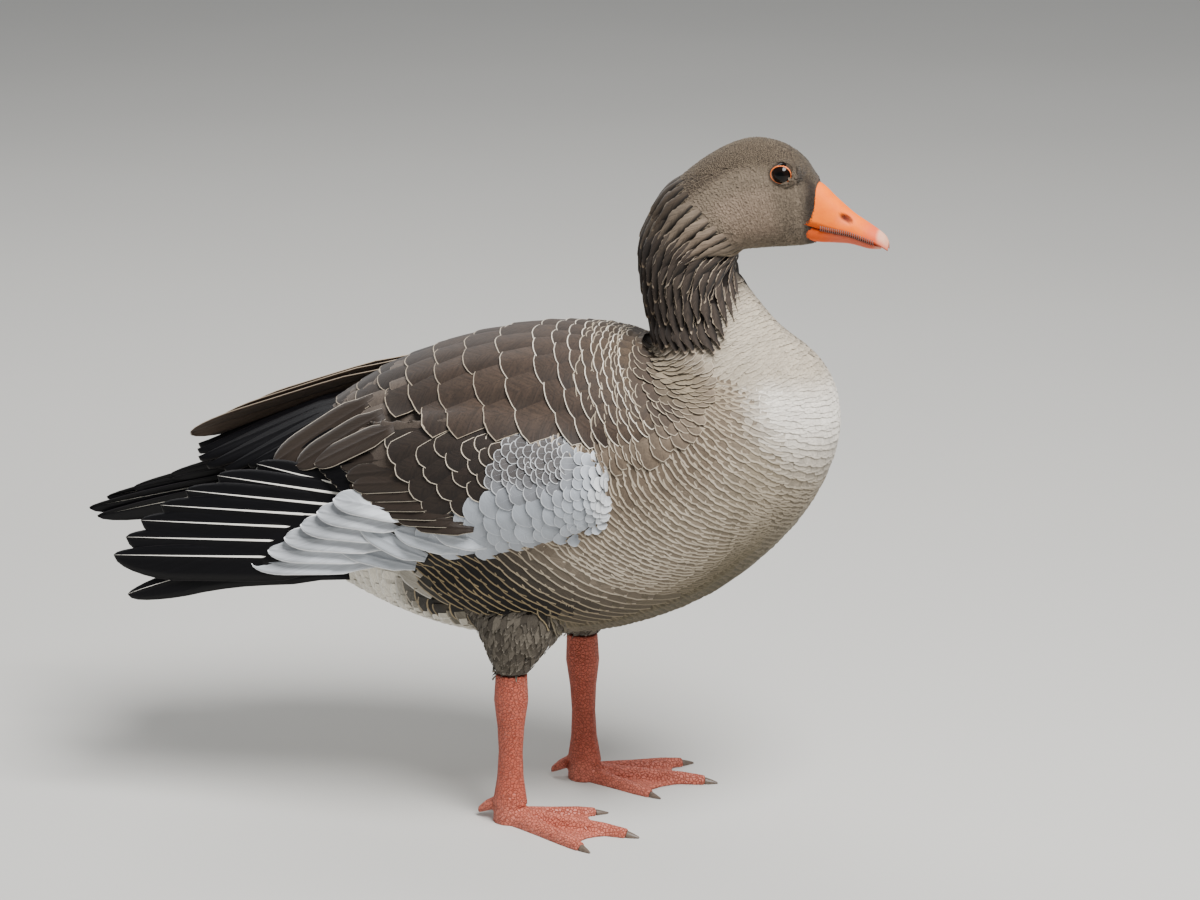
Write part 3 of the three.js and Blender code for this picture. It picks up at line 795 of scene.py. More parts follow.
def lid_swell(points):
    """The skin round each eye raised to the lids, and let in under the eyeball."""
    above = points[:, 2] - EYE[2]
    r = np.hypot((points[:, 0] - EYE[0]) / 1.12, above * np.where(above > 0, 1.3, 1.0))
    out = np.abs(points[:, 1])
    near = (r < 16) & (out > 6)
    raised = np.maximum(out, EYE[1] + 5.6 - 0.16 * np.maximum(r - 6.2, 0) ** 2)
    raised = out + (raised - out) * ease(r, 15.5, 8.5)
    wanted = np.where(r < 5.4, EYE[1] + 1.0, raised)
    points[near, 1] = (np.sign(points[:, 1]) * wanted)[near]
    return points


def make_skin():
    """One skin round the flesh, let in by the coat's depth, with the coat's markings on it and painted shade
    in the neck's furrows.
    """
    thing = merged_nodes("skin", SKIN_NODES, 0.5, SKIN_GRAIN, 4)
    mesh = thing.data
    points = off_frame(points_of(mesh))
    normals = normals_of(mesh)
    faces = [tuple(p.vertices) for p in mesh.polygons]
    solid = BVHTree.FromPolygons(points.tolist(), faces)
    t, angle = nearest_station(points)
    depth = COAT_DEPTH + (NECK_DEPTH - COAT_DEPTH) * ease(t, 9.5, 11.5)
    depth = depth + (HEAD_DEPTH - depth) * ease(t, 14.6, 16.4)
    inset = np.empty(len(points))
    for i, (p, n) in enumerate(zip(points, normals)):
        hit = solid.ray_cast(Vector(p - n * 0.3), Vector(-n), 30.0)[3]
        inset[i] = 30.0 if hit is None else hit
    points = points - normals * np.minimum(depth, 0.3 * inset)[:, None]
    points = lid_swell(points)
    mesh.vertices.foreach_set("co", put_on_frame(points).astype(np.float32).ravel())
    mesh.update()
    paints = body_paints(t, angle)
    tint = paints["tint"] * 0.75
    # Painted shade: the skin in the neck's furrows, under the locks, is darkened nearly to black.
    tint = mix(tint, FURROW_SHADE, ease(t - lock_hem(angle), 0.2, 1.0) * ease(t, 16.6, 16.0))
    paint(mesh, "tint", np.clip(tint, 0, 1))
    tree = BVHTree.FromPolygons(points.tolist(), faces)
    return thing, tree


def make_cover():
    """A surface over the back and the folded wings at the skin's height, with its creases filled."""
    fill = 7.0
    thing = merged_nodes("cover", ("trunk", "wing_right_arm", "wing_left_arm"), fill, 4.0, 10)
    points = off_frame(points_of(thing.data)) - normals_of(thing.data) * (fill + COAT_DEPTH)
    tree = BVHTree.FromPolygons(points.tolist(), [tuple(p.vertices) for p in thing.data.polygons])
    bpy.data.objects.remove(thing)
    return tree


def skin_finish():
    f = Finish("down", 0.85, 0.15, Sheen_Weight=0.1)
    grain = f.noise(900.0, 4.0)
    shade = f.step(grain, 0.3, 0.7, 0.0, 0.3)
    f.bump(grain, 0.4, 0.0008)
    return f.paint(f.blend(shade, f.attribute("tint").outputs["Color"], colour("000000")))


skin, skin_tree = make_skin()
cover_tree = make_cover()
wear(skin, skin_finish(), "plumage_trunk", *SKIN_NODES)

# ---------------------------------------------------------------- the body's coat


def grow_body_coat(name, side, t_range, a_range, pitch, gap, shape, material, seed, keep, **how):
    """A coat piece over part of one side of the body. keep says which places grow a feather."""
    sign = SIDES[side]

    def surface(t, angle):
        return body_at(t, sign * angle)

    found = rows_over(surface, np.arange(t_range[0], t_range[1], 1 / 32), a_range, pitch, gap, seed)
    t, angle, run, across = found.T
    here = surface(t, angle)
    back = -slope_along(surface, t, angle)
    round_ = slope_across(surface, t, angle)
    out = unit(np.cross(round_, back)) * sign
    out = np.where(np.sum(out * (here - body_middle(t)), -1, keepdims=True) < 0, -out, out)
    roots, rise = skin_over(here, out)
    on = keep(t, angle, here, rise)
    t, angle, run, across, roots = (x[on] for x in (t, angle, run, across, roots))
    back, round_ = back[on], round_[on]
    rng = np.random.default_rng(seed + 100)
    turn = np.radians(rng.uniform(-6, 6, len(t)))
    lies = unit(back) * np.cos(turn)[:, None] + unit(round_) * np.sin(turn)[:, None]
    length = run * how.get("overlap", 2.3) * rng.uniform(0.9, 1.12, len(t))
    length = np.minimum(length, how.get("longest", 60))
    # A feather whose tip would end under something higher is made shorter.
    for _ in range(3):
        _, climb = skin_over(here[on] + unit(back) * length[:, None], out[on])
        length = np.where(climb > 5, length * 0.65, length)
    width = across * how.get("breadth", 1.5) * rng.uniform(0.92, 1.1, len(t))
    places = np.stack([angle / 180, (t - t_range[0]) / (t_range[1] - t_range[0])], -1) * 0.96 + 0.02
    paints = body_paints(t, angle)
    slot = how.get("slot", "plumage_trunk")
    lay(name, places, roots, lies, length, width, shape, paints, material, slot, seed)


def body_middle(t):
    """The middle of the body's section at t."""
    return (body_at(t, 0.0) + body_at(t, 180.0)) / 2


fine_plumes = plume_finish("head_plumes", 0.85, streak=0.35, mottle=0.3, rim=0.4, tip=0.8, fray=0.3)
# The neck's locks: hollow paints deep shade over each lock's sunk half, along the furrow.
lock_plumes = plume_finish(
    "neck_plumes", 0.8, streak=0.5, mottle=0.0, rim=0.7, tip=2.5, bar=(0.12, 0.0), fray=0.7, hollow=0.95
)
soft_plumes = plume_finish(
    "breast_plumes", 0.85, streak=0.3, mottle=0.2, rim=0, tip=1.9, bar=(0.3, 0.7), fray=0.6
)
barred_plumes = plume_finish(
    "flank_plumes", 0.75, streak=0.3, mottle=0.1, rim=0, tip=1.5, bar=(0.3, 0.7), fray=0.5
)
mantle_plumes = plume_finish(
    "mantle_plumes", 0.7, streak=0.25, mottle=0.2, rim=0.7, tip=1.0, bar=(0.3, 0.9), fray=0.5
)
# Back feathers and brown coverts: hollow paints shade over one side of each feather.
firm_plumes = plume_finish(
    "back_plumes", 0.62, 0.03, colour("2c231d"), streak=0.4, mottle=0.35, rim=0.6, tip=1.0, bar=(0.3, 0.95),
    hollow=0.35, fray=0.4,
)
# The bar runs backwards here: where bar is given it darkens each feather towards its root, painted shade
# under the feather that overlaps it.
silver_plumes = plume_finish(
    "silver_plumes", 0.6, 0.02, colour("9aa0a6"), streak=0.12, mottle=0.0, rim=0.8, tip=1.0, bar=(0.75, 0.3),
    fray=0.3,
)
hand_plumes = plume_finish(
    "hand_plumes", 0.6, 0.02, colour("8d9094"), streak=0.2, mottle=0.0, rim=0.9, tip=1.0, bar=(0.5, 0.8),
    fray=0.3,
)
dark_quills = plume_finish(
    "dark_quills", 0.45, 0.075, colour("f6f2e8"), streak=0.35, mottle=0.0, rim=0.4, tip=0.4, shine=0.2,
    fray=0.3, sheen=0.0,
)
black_vanes = plume_finish(
    "black_vanes", 0.55, streak=0.3, mottle=0.0, rim=0.6, tip=0.8, shine=0.15, fray=0.3, sheen=0.0
)
brown_quills = plume_finish(
    "brown_quills", 0.58, 0.02, colour("241c17"), streak=0.25, mottle=0.15, rim=0.55, tip=0.8, fray=0.3
)


def eye_clear(t, a, here, rise):
    """Places that are off the eye and off the bill."""
    r = np.hypot((here[:, 0] - EYE[0]) / 1.15, here[:, 2] - EYE[2])
    return (r > 7.6) & (rise < 8) & ((t > 15.95) | (a > 125))


def head_pitch(t, a):
    return 1.6 + 0.7 * ease(t, 19.5, 16.0) - 0.3 * ease(t, 20.5, 21.8)


def head_gap(t, a):
    return 1.5 + 0.4 * ease(t, 19.5, 16.0) - 0.3 * ease(t, 20.5, 21.8)


HEAD_VANE = vane(
    columns=3, rows=4, waist=0.6, camber=0.1, ragged=0.3, root_height=0.1, tip_height=0.9, height_jitter=0.15
)

for side in SIDES:
    grow_body_coat(
        f"coat_head_{side}", side, (15.3, 21.95), (0, 180), head_pitch, head_gap, HEAD_VANE, fine_plumes,
        10 + SEED[side], eye_clear, overlap=2.4, breadth=1.4, slot="plumage_head",
    )

# The furrows: how many a side has, how far round they start, where they end, and the step between locks.
NECK_COLUMNS = 19
NECK_SPREAD = 160.0
NECK_TOP = 16.55
LOCK_STEP = 21


def neck_path(t, start):
    """The angle that a furrow starting at an angle at the neck's foot has reached at t."""
    return start * (1 + 0.65 * ease(t, 10.5, 16.5))


def grow_neck(side, seed):
    """Furrowed neck: columns of long pointed locks, each lifted along its rear edge over a hollow, with
    painted shade on the lock's sunk half and on the skin beneath.
    """
    sign = SIDES[side]
    rng = np.random.default_rng(seed)
    rows = []
    fine = np.linspace(9.6, NECK_TOP, 260)
    for column in range(NECK_COLUMNS):
        start = NECK_SPREAD * (column + 0.5) / NECK_COLUMNS
        angle = neck_path(fine, start)
        path = body_at(fine, sign * angle)
        run = np.concatenate([[0], np.cumsum(np.linalg.norm(np.diff(path, axis=0), axis=-1))])
        on = (angle < 178) & (fine > lock_hem(angle))
        if np.sum(on) < 30:
            continue
        low, top = run[on][0], run[on][-1]
        count = max(int(np.ceil((top - low - 22) / LOCK_STEP)) + column % 2, 2)
        roots = np.linspace(top, low + 26, count) + rng.uniform(-2.5, 2.5, count)
        length = 28 + 14 * ease(np.interp(roots, run, fine), 13, 16.2)
        length = length * rng.uniform(0.92, 1.08, len(roots))
        ends = np.maximum(roots - length, 0)
        starts = np.full(count, start)
        rows.append(np.stack([np.interp(roots, run, fine), np.interp(ends, run, fine), length, starts], -1))
    t, end_t, length, start = np.vstack(rows).T
    angle = neck_path(t, start)
    here = body_at(t, sign * angle)
    below = body_at(t - 0.15, sign * neck_path(t - 0.15, start))
    ends = body_at(end_t, sign * neck_path(end_t, start))
    middle = (t + end_t) / 2
    beside = body_at(middle, sign * neck_path(middle, start + NECK_SPREAD / NECK_COLUMNS))
    width = np.linalg.norm(beside - body_at(middle, sign * neck_path(middle, start)), axis=-1) * 1.12
    roots, _ = skin_over(here, unit(here - body_middle(t)))
    paints = body_paints(t + 0.4, angle)
    places = np.stack([angle / 200, (t - 9) / 8], -1) * 0.96 + 0.02
    shape = vane(
        columns=9, rows=18, waist=0.6, point=0.72, round_tip=0.8, camber=0.24, ragged=0.03, root_height=0.0,
        tip_height=3.4 - 2.2 * ease(angle, 115, 165), height_jitter=0.6, fray=0.15, twist=-0.42 * sign,
        rise=0.5,
    )
    lay(
        f"coat_neck_{side}", places, roots, unit(below - here), length, width, shape, paints, lock_plumes,
        "plumage_neck", seed, ends=ends,
    )


for side in SIDES:
    grow_neck(side, 11 + SEED[side])

SOFT = vane(
    columns=9, rows=5, waist=0.7, round_tip=0.22, camber=0.0, ragged=0.06, root_height=0.5, tip_height=2.1,
    height_jitter=0.1,
)
BARRED = vane(
    columns=9, rows=7, waist=0.75, round_tip=0.16, camber=0.0, ragged=0.02, tip_height=2.9, height_jitter=0.1
)

# A row of flank feathers is the place of its tips under the wing, where it starts and ends, and a breadth.
FLANK_ROWS = tuple((2.0 + 0.155 * k, 94, 146 - 2.0 * max(9 - k, 0), 23) for k in range(17))
SIDE_GAP = 5.2


def flank_line(row, angle):
    """Side rows run forwards as they go down, less so towards the breast."""
    return row + ease(row, 8.0, 4.4) * forwards(np.maximum(np.abs(angle), 88))


def side_rows():
    """Rows of small breast feathers on from the flank's, even along the side."""
    fine = np.linspace(FLANK_ROWS[-1][0], 9.3, 300)
    path = body_at(flank_line(fine, 105.0), 105.0)
    run = np.concatenate([[0], np.cumsum(np.linalg.norm(np.diff(path, axis=0), axis=-1))])
    levels = np.interp(np.arange(SIDE_GAP, run[-1], SIDE_GAP), run, fine)
    return [(level, 66 + 8 * ease(level, 6, 6.8), 152 - 30 * ease(level, 5.5, 8.5), 15) for level in levels]


def on_side(t, a):
    """Whether the side rows cover a place well inside their edges."""
    row = t - ease(t, 8.0, 4.4) * forwards(np.maximum(a, 88))
    return (row > 4.3) & (row < 8.9) & (a > 74) & (a < 144 - 30 * ease(row, 5.5, 8.5))


def on_flank(t, a):
    row = t - forwards(a)
    return (row > 2.1) & (row < 4.6) & (a > 88) & (a < 136)


def grow_side(name, side, rows, shape, material, seed, wide):
    """Even rows of feathers along one side of the body."""
    sign = SIDES[side]

    def surface(row, angle):
        return body_at(flank_line(row, angle), sign * angle)

    row, angle, tips, lies, length, breadth = feather_rows(surface, rows, seed)
    _, climb = skin_over(tips, unit(tips - body_middle(flank_line(row, angle))))
    here, facing = ground_under(tips)
    roots, root_facing = ground_under(tips - lies * length[:, None])
    stretch = np.linalg.norm(here - roots, axis=-1) / length
    keep = (climb < 3) & (np.sum(facing * root_facing, -1) > 0.75) & (stretch > 0.8) & (stretch < 1.15)
    row, angle, tips, lies, length, breadth = (x[keep] for x in (row, angle, tips, lies, length, breadth))
    roots = roots[keep]
    paints = body_paints(flank_line(row, angle), angle)
    places = np.stack([angle / 180, row / 10], -1) * 0.94 + 0.03
    width = breadth * wide
    lay(name, places, roots, lies, length, width, shape, paints, material, "plumage_trunk", seed)


def breast_pitch(t, a):
    step = 6.0 - 1.2 * ease(a, 95, 130) - 1.0 * ease(t, 8.0, 10.0)
    return step + 1.0 * ease(a, 150, 175) * ease(t, 7.0, 5.5)


def breast_gap(t, a):
    return breast_pitch(t, a) * 1.25


def on_breast(t, a, here, rise):
    bare = rise < np.where((a > 100) & (t > 8), 12, 3.5)
    return bare & ((a > 66) | (t > 6.6)) & (t < lock_hem(a) + 0.8) & ~on_side(t, a)


def on_belly(t, a, here, rise):
    return (rise < 3.5) & ~on_flank(t, a)


def on_mantle(t, a, here, rise):
    return (rise < 6) & (a < 78)


def on_back(t, a, here, rise):
    return rise < 30


def belly_pitch(t, a):
    return 7.2 + 2.0 * ease(t, 3.2, 1.8)


def mantle_pitch(t, a):
    return 6.5 - 2.3 * ease(t, 7.0, 9.0)


def mantle_gap(t, a):
    return 9.0 - 3.0 * ease(t, 6.5, 9.0)


BACK_VANE = vane(columns=7, rows=5, tip_height=2.0)
MANTLE_VANE = vane(columns=7, rows=6, waist=0.6, round_tip=0.35, camber=0.06, ragged=0.04, tip_height=3.0)

for side in SIDES:
    seed = 20 + SEED[side]
    grow_body_coat(
        f"coat_breast_{side}", side, (4.6, 13.4), (40, 180), breast_pitch, breast_gap, SOFT, soft_plumes,
        seed, on_breast, breadth=1.9, longest=18,
    )
    grow_body_coat(
        f"coat_belly_{side}", side, (0.15, 4.6), (60, 180), belly_pitch, lambda t, a: 10.5, BARRED,
        barred_plumes, seed + 1, on_belly, breadth=2.0,
    )
    grow_body_coat(
        f"coat_back_{side}", side, (0.1, 3.0), (0, 62), lambda t, a: 12.0, lambda t, a: 12.0, BACK_VANE,
        mantle_plumes, seed + 2, on_back,
    )
    grow_body_coat(
        f"coat_mantle_{side}", side, (5.6, 10.6), (0, 78), mantle_pitch, mantle_gap, MANTLE_VANE,
        mantle_plumes, seed + 3, on_mantle, breadth=1.7,
    )

for side in SIDES:
    seed = 25 + SEED[side]
    grow_side(f"coat_flank_{side}", side, FLANK_ROWS, BARRED, barred_plumes, seed, 1.3)
    grow_side(f"coat_side_{side}", side, side_rows(), SOFT, soft_plumes, seed + 1, 1.35)

# ---------------------------------------------------------------- scapulars

# A row of scapulars is the place of its tips at the spine, where it starts and ends, and a breadth.
SCAPULAR_ROWS = (
    (1.45, 0, 24, 27),
    (1.75, 0, 38, 28),
    (2.08, 0, 52, 29),
    (2.42, 0, 65, 30),
    (2.8, 0, 67, 30),
    (3.25, 0, 68, 30),
    (3.72, 0, 69, 30),
    (4.22, 0, 69, 29),
    (4.52, 0, 70, 25),
    (4.76, 0, 70, 22),
    (4.98, 0, 70, 19),
    (5.2, 0, 70, 17),
    (5.4, 0, 70, 15),
    (5.6, 0, 69, 13),
    (5.8, 0, 66, 12),
)


def lay_on_cover(name, places, tips, lies, length, width, shape, paints, seed, patch):
    """Firm feathers over the back and the folded wing, from the places of their tips."""
    roots, _ = ground_under(tips - lies * length[:, None], tree=cover_tree)
    lay(
        name, places, roots, lies, length, width, shape, paints, firm_plumes, "plumage_wing", seed,
        patch=patch, tree=cover_tree,
    )


def grow_scapulars(side, seed):
    """The big feathers of the back, in rows that run down and forwards over the folded wing."""
    sign = SIDES[side]

    def surface(row, angle):
        return body_at(row + 0.68 * (np.abs(angle) / 68) ** 1.6, sign * angle)

    row, angle, tips, lies, length, breadth = feather_rows(surface, SCAPULAR_ROWS, seed)
    count = len(row)
    tint = mix(np.tile(colour("4a3a2e"), (count, 1)), colour("5f4e3d"), ease(row, 4.6, 5.8))
    tint = mix(tint, colour("382c23"), ease(row, 3.0, 2.0))
    edge = mix(np.tile(colour("b5a691"), (count, 1)), colour("e6dbc8"), ease(row, 3, 4.5))
    places = np.stack([angle / 90, (row - 1.2) / 5], -1) * 0.94 + 0.03
    shape = vane(
        columns=9, rows=9, waist=0.75, round_tip=0.24, camber=0.05, ragged=0.012, root_height=0.8,
        tip_height=3.8,
    )
    paints = flat_paints(count, tint, edge, 0.35, 0.9)
    width = breadth * 1.16
    name = f"coat_scapulars_{side}"
    lay_on_cover(name, places, tips, lies, length, width, shape, paints, seed, SCAPULAR_PATCH)


for side in SIDES:
    grow_scapulars(side, 31 + SEED[side])

# ---------------------------------------------------------------- wing coverts

# A row of brown coverts is the slanted wing place of its tips, where it starts and ends, and a breadth.
BROWN_ROWS = (
    (4.42, 0.09, 0.66, 17),
    (4.05, 0.09, 0.66, 16),
    (3.7, 0.09, 0.66, 15),
    (3.38, 0.09, 0.66, 13),
    (3.1, 0.09, 0.66, 12),
    (2.86, 0.09, 0.62, 11),
    (2.65, 0.09, 0.56, 10),
    (2.46, 0.12, 0.5, 9),
    (2.3, 0.16, 0.4, 9),
)


def slanted(row, v):
    """The wing place u of a row at v: rear rows of coverts run forwards as they go down."""
    return row - 1.5 * np.minimum(v, 0.6) * ease(row, 2.2, 3.6)


def brown_from(v):
    """Where along the wing the silver forewing gives way to brown."""
    return 2.3 + 1.5 * np.maximum(v - 0.14, 0)


def grow_brown_coverts(side, seed):
    """Rows of brown coverts on the rear half of the wing."""

    def surface(row, v):
        return wing_at(side, slanted(row, v), v)

    row, v, tips, lies, length, breadth = feather_rows(surface, BROWN_ROWS, seed)
    keep = slanted(row, v) > brown_from(v) - 0.05 + 0.32 * ease(v, 0.5, 0.25)
    row, v, tips, lies, length, breadth = (x[keep] for x in (row, v, tips, lies, length, breadth))
    count = len(row)
    tint = mix(np.tile(colour("2c221b"), (count, 1)), colour("42352b"), ease(row, 3.2, 2.3))
    places = np.stack([v, row / 5], -1) * 0.94 + 0.03
    shape = vane(
        columns=9, rows=8, waist=0.7, round_tip=0.5, camber=0.06, ragged=0.01, root_height=0.5,
        tip_height=3.4 - 2.0 * ease(v, 0.22, 0.1), height_jitter=0.2,
    )
    paints = flat_paints(count, tint, colour("d3c6b2"), 0.3, 0.95)
    width = breadth * 1.25
    name = f"coat_coverts_brown_{side}"
    lay_on_cover(name, places, tips, lies, length, width, shape, paints, seed, COVERT_PATCH)


def grow_silver_coverts(side, seed):
    """Small silver coverts on the forewing, darker grey-brown on its upper half: the small feathers' darker
    centres, deepened with painted shade.
    """

    def surface(u, v):
        return wing_at(side, u, v)

    def pitch(u, v):
        return 5.2 + 7.0 * ease(u, 0.9, 2.0) * ease(v, 0.3, 0.6)

    def gap(u, v):
        return pitch(u, v) * 1.3

    found = rows_over(surface, np.arange(0.04, 3.3, 1 / 40), (0.04, 0.965), pitch, gap, seed)
    brown = brown_from(found[:, 1]) - 0.22 + 0.3 * ease(found[:, 1], 0.5, 0.25)
    found = found[found[:, 0] < np.where(found[:, 1] < 0.62, brown, 3.25)]
    u, v, run, across = found.T
    roots, _ = ground_under(surface(u, v))
    rng = np.random.default_rng(seed + 1)
    turn = 20 * ease(v, 0.05, 0.3) * ease(v, 0.9, 0.6) - 16 * ease(v, 0.75, 0.95)
    turn = np.radians(turn + rng.uniform(-8, 8, len(u)))
    back = unit(slope_along(surface, u, v))
    down = unit(slope_across(surface, u, v))
    lies = back * np.cos(turn)[:, None] + down * np.sin(turn)[:, None]
    places = np.stack([v, u / 4], -1) * 0.94 + 0.03
    shape = vane(
        columns=9, rows=6, waist=0.75, round_tip=0.65, camber=0.05, ragged=0.015, root_height=0.9,
        tip_height=3.2 - 1.6 * ease(v, 0.2, 0.08), height_jitter=0.2,
    )
    count = len(u)
    # Darker grey-brown on the upper half, towards the back: the feathers' darker centres and painted shade.
    shaded = ease(v, 0.62, 0.28) * ease(u, 0.6, 1.7)
    tint = mix(np.tile(SILVER, (count, 1)), SILVER_SHADE, shaded * 0.95)
    tint = mix(tint, WHITE, ease(u, 1.0, 0.4) * 0.5)
    name = f"coat_coverts_silver_{side}"
    rims = 0.35 + 0.3 * ease(v, 0.6, 0.3) * ease(u, 0.8, 1.6)
    # bar 0.45 with this finish darkens each covert's root half: painted shade.
    paints = flat_paints(count, tint, colour("eceff1"), 0.45, rims)
    length = run * 2.2 * rng.uniform(0.88, 1.15, len(u)) * (1 - 0.2 * ease(v, 0.8, 0.95))
    width = across * 1.45 * (1 - 0.25 * ease(v, 0.8, 0.95))
    lay(
        name, places, roots, lies, length, width, shape, paints, silver_plumes, "plumage_wing", seed,
        patch=COVERT_PATCH,
    )


for side in SIDES:
    grow_silver_coverts(side, 42 + SEED[side])
    grow_brown_coverts(side, 41 + SEED[side])

# ---------------------------------------------------------------- long feathers


def quills(name, side, rows, face, material, tint, edge, replaced=(), **how):
    """Long feathers that stand clear of the skin. A row is base x y z, tip x y z, breadth and bow.

    lead is the lower vane's share of the breadth, tip_from and sharp shape the end, tilt and camber turn and
    crown the vane, sink lets the root in, tuck lengthens it, and turn -1 makes it face the other way.
    """
    sign = SIDES[side]
    rows = np.array(rows, float)
    rows[:, [1, 4]] *= sign
    base, tip, breadth, bow = rows[:, 0:3], rows[:, 3:6], rows[:, 6], rows[:, 7]
    count = len(rows)
    lead = how.get("lead", 0.5)
    a, b = np.meshgrid(QUILL_COLUMNS, 1 - (1 - np.linspace(0, 1, QUILL_ROWS)) ** 1.7)
    along = unit(tip - base)
    face = np.asarray(face, float) * (1, sign, 1)
    face = unit(face - along * np.sum(along * face, -1, keepdims=True))
    low = np.cross(along, face) * sign * how.get("turn", 1)
    base = base - along * how.get("tuck", 0.0)
    length = np.linalg.norm(tip - base, axis=-1)[:, None, None]
    end = 1 - how.get("tip_from", 0.72)
    round_end = np.sqrt(np.clip(1 - (np.maximum(b - 1 + end, 0) / end) ** how.get("sharp", 2.0), 0, 1))
    profile = (0.45 + 0.55 * ease(b, 0, 0.3)) * np.maximum(round_end, 0.04)
    share = np.where(a > 0, lead, 1 - lead)
    sideways = breadth[:, None, None] * a * share * profile
    sideways = sideways + bow[:, None, None] * 4 * b * (1 - b)
    rise = breadth[:, None, None] * (how.get("tilt", 0.0) * a - how.get("camber", 0.07) * a**2)
    rise = rise + 0.6 * (np.abs(a) < 0.05) - how.get("sink", 0.0) * ease(b, 0.4, 0.0)
    points = base[:, None, None] + along[:, None, None] * (length * b)[..., None]
    points = points + low[:, None, None] * sideways[..., None] + face[:, None, None] * rise[..., None]
    faces = grid_faces(count, b.shape[0], b.shape[1])
    if sign * how.get("turn", 1) < 0:
        faces = faces[:, ::-1]
    mesh = mesh_from(name, points.reshape(-1, 3), faces)
    own_map = np.stack([(a + 1) / 2, b], -1).reshape(-1, 2)
    unwrap(mesh, "vane", np.tile(own_map, (count, 1)))
    per = b.size
    corner = np.stack([(np.arange(count) + 0.1) / count, np.full(count, 0.05)], -1)
    strip = np.tile(own_map * (0.8 / count, 0.9), (count, 1))
    unwrap(mesh, "OFBake", strip + np.repeat(corner, per, axis=0))
    paints = flat_paints(count, tint, edge, how.get("bar", 0.0), 1.0)
    paint_feathers(mesh, paints, breadth / 2, length.ravel(), per, np.random.default_rng(count + len(name)))
    thing = new_object(name, mesh)
    wall = thing.modifiers.new("wall", "SOLIDIFY")
    wall.thickness = VANE_WALL
    wall.offset = -1
    wear(finished(thing), material, how.get("slot", "plumage_wing"), *replaced)


def fan(first, last, count):
    """Rows evenly between a first and a last one."""
    share = np.linspace(0, 1, count)[:, None]
    return np.asarray(first, float) * (1 - share) + np.asarray(last, float) * share


# The way that feathers at the wing's side and over its top face.
OUTWARD = (0.05, 0.95, 0.3)
TERTIAL_FACE = (0.25, 0.6, 0.75)
# A vane's columns of points lie closer together beside the shaft, and its rows towards the tip. The wall is
# its thickness in metres.
QUILL_COLUMNS = (-1, -0.66, -0.33, -0.07, 0, 0.07, 0.33, 0.66, 1)
QUILL_ROWS = 14
VANE_WALL = 0.0005

NEAR_PRIMARIES = (
    (-150, 81, 262, -250, 64, 272, 28, 0),
    (-150, 82, 258, -280, 69, 262, 30, 0),
    (-152, 84, 251, -304, 74, 250, 31, 0),
    (-156, 86, 244, -323, 78, 238, 31, 0),
    (-163, 88, 235, -338, 82, 226, 31, 0),
    (-171, 90, 225, -349, 86, 213, 30, 0),
    (-178, 92, 213, -357, 92, 200, 27, 0),
    (-172, 92, 203, -345, 96, 171, 21, -11),
)
FAR_PRIMARIES = (
    (-150, 74, 282, -330, 45, 236, 26, 0),
    (-150, 75, 276, -362, 42, 224, 26, 0),
    (-152, 76, 270, -392, 39, 212, 26, 0),
    (-158, 76, 263, -414, 37, 203, 24, 0),
    (-166, 75, 256, -428, 34, 194, 22, 0),
    (-174, 74, 248, -421, 33, 188, 20, 0),
)
for side, rows in (("right", NEAR_PRIMARIES), ("left", FAR_PRIMARIES)):
    quills(
        f"primaries_{side}", side, rows, OUTWARD, dark_quills, BLACK, colour("2b282a"),
        (f"wing_{side}_primaries",), slot="quill_dark", lead=0.7, tip_from=0.74, camber=0.04, sharp=1.35,
        sink=7.0,
    )

NEAR_TERTIALS = (
    (-138, 78, 314, -202, 71, 278, 20, 0),
    (-151, 62, 319, -218, 67, 274, 22, 0),
    (-163, 46, 325, -239, 59, 272, 24, 0),
)
FAR_TERTIALS = (
    (-120, 64, 334, -232, 52, 307, 24, 0),
    (-135, 54, 338, -262, 44, 298, 26, 0),
    (-148, 42, 338, -292, 36, 286, 28, 0),
    (-156, 32, 336, -316, 30, 275, 28, 0),
    (-160, 24, 332, -336, 22, 266, 28, 0),
)
# Black inner tertials over the back: painted shade filling the dark gap between the wings, where these
# feathers are brown.
INNER_TERTIALS_IN_SHADE = (
    (-160, 44, 327, -262, 51, 267, 24, 0),
    (-164, 36, 329, -284, 44, 260, 25, 0),
    (-166, 24, 329, -303, 32, 258, 26, 0),
    (-168, 10, 329, -316, 14, 258, 26, 0),
    (-168, -6, 329, -325, -8, 257, 26, 0),
    (-166, -20, 328, -331, -26, 256, 26, 0),
)
quills(
    "tertials_inner", "right", INNER_TERTIALS_IN_SHADE, (0.25, 0.3, 0.9), black_vanes, BLACK, colour("2c2622"),
    camber=0.12, sharp=1.1, tip_from=0.6, sink=10.0,
)
quills(
    "tertials_right", "right", NEAR_TERTIALS, TERTIAL_FACE, brown_quills, colour("2f251d"),
    colour("cbbfad"), ("wing_right_tertials",), sink=1.5, camber=0.03,
)
quills(
    "tertials_left", "left", FAR_TERTIALS, TERTIAL_FACE, brown_quills, colour("5d4e42"), colour("b5a48f"),
    ("wing_left_tertials",),
)

GREATER_COVERTS = (
    (-128, 83, 305, -184, 71, 285, 15, 0),
    (-123, 91, 296, -179, 77, 280, 15, 0),
    (-119, 97, 288, -173, 83, 275, 15, 0),
    (-115, 102, 280, -166, 89, 270, 15, 0),
    (-110, 104, 273, -158, 93, 265, 14, 0),
    (-104, 106, 266, -149, 97, 260, 14, 0),
    (-96, 107, 260, -139, 100, 256, 14, 0),
    (-88, 108, 255, -127, 103, 252, 13, 0),
    (-80, 109, 250, -113, 105, 249, 13, 0),
)
ALULA = (
    (-60, 101, 236, -98, 103, 243, 16, 0),
    (-82, 101, 230, -130, 101, 241, 16, 0),
    (-108, 98, 220, -158, 100, 243, 15, 2),
    (-118, 94, 212, -176, 95, 222, 15, 0),
)

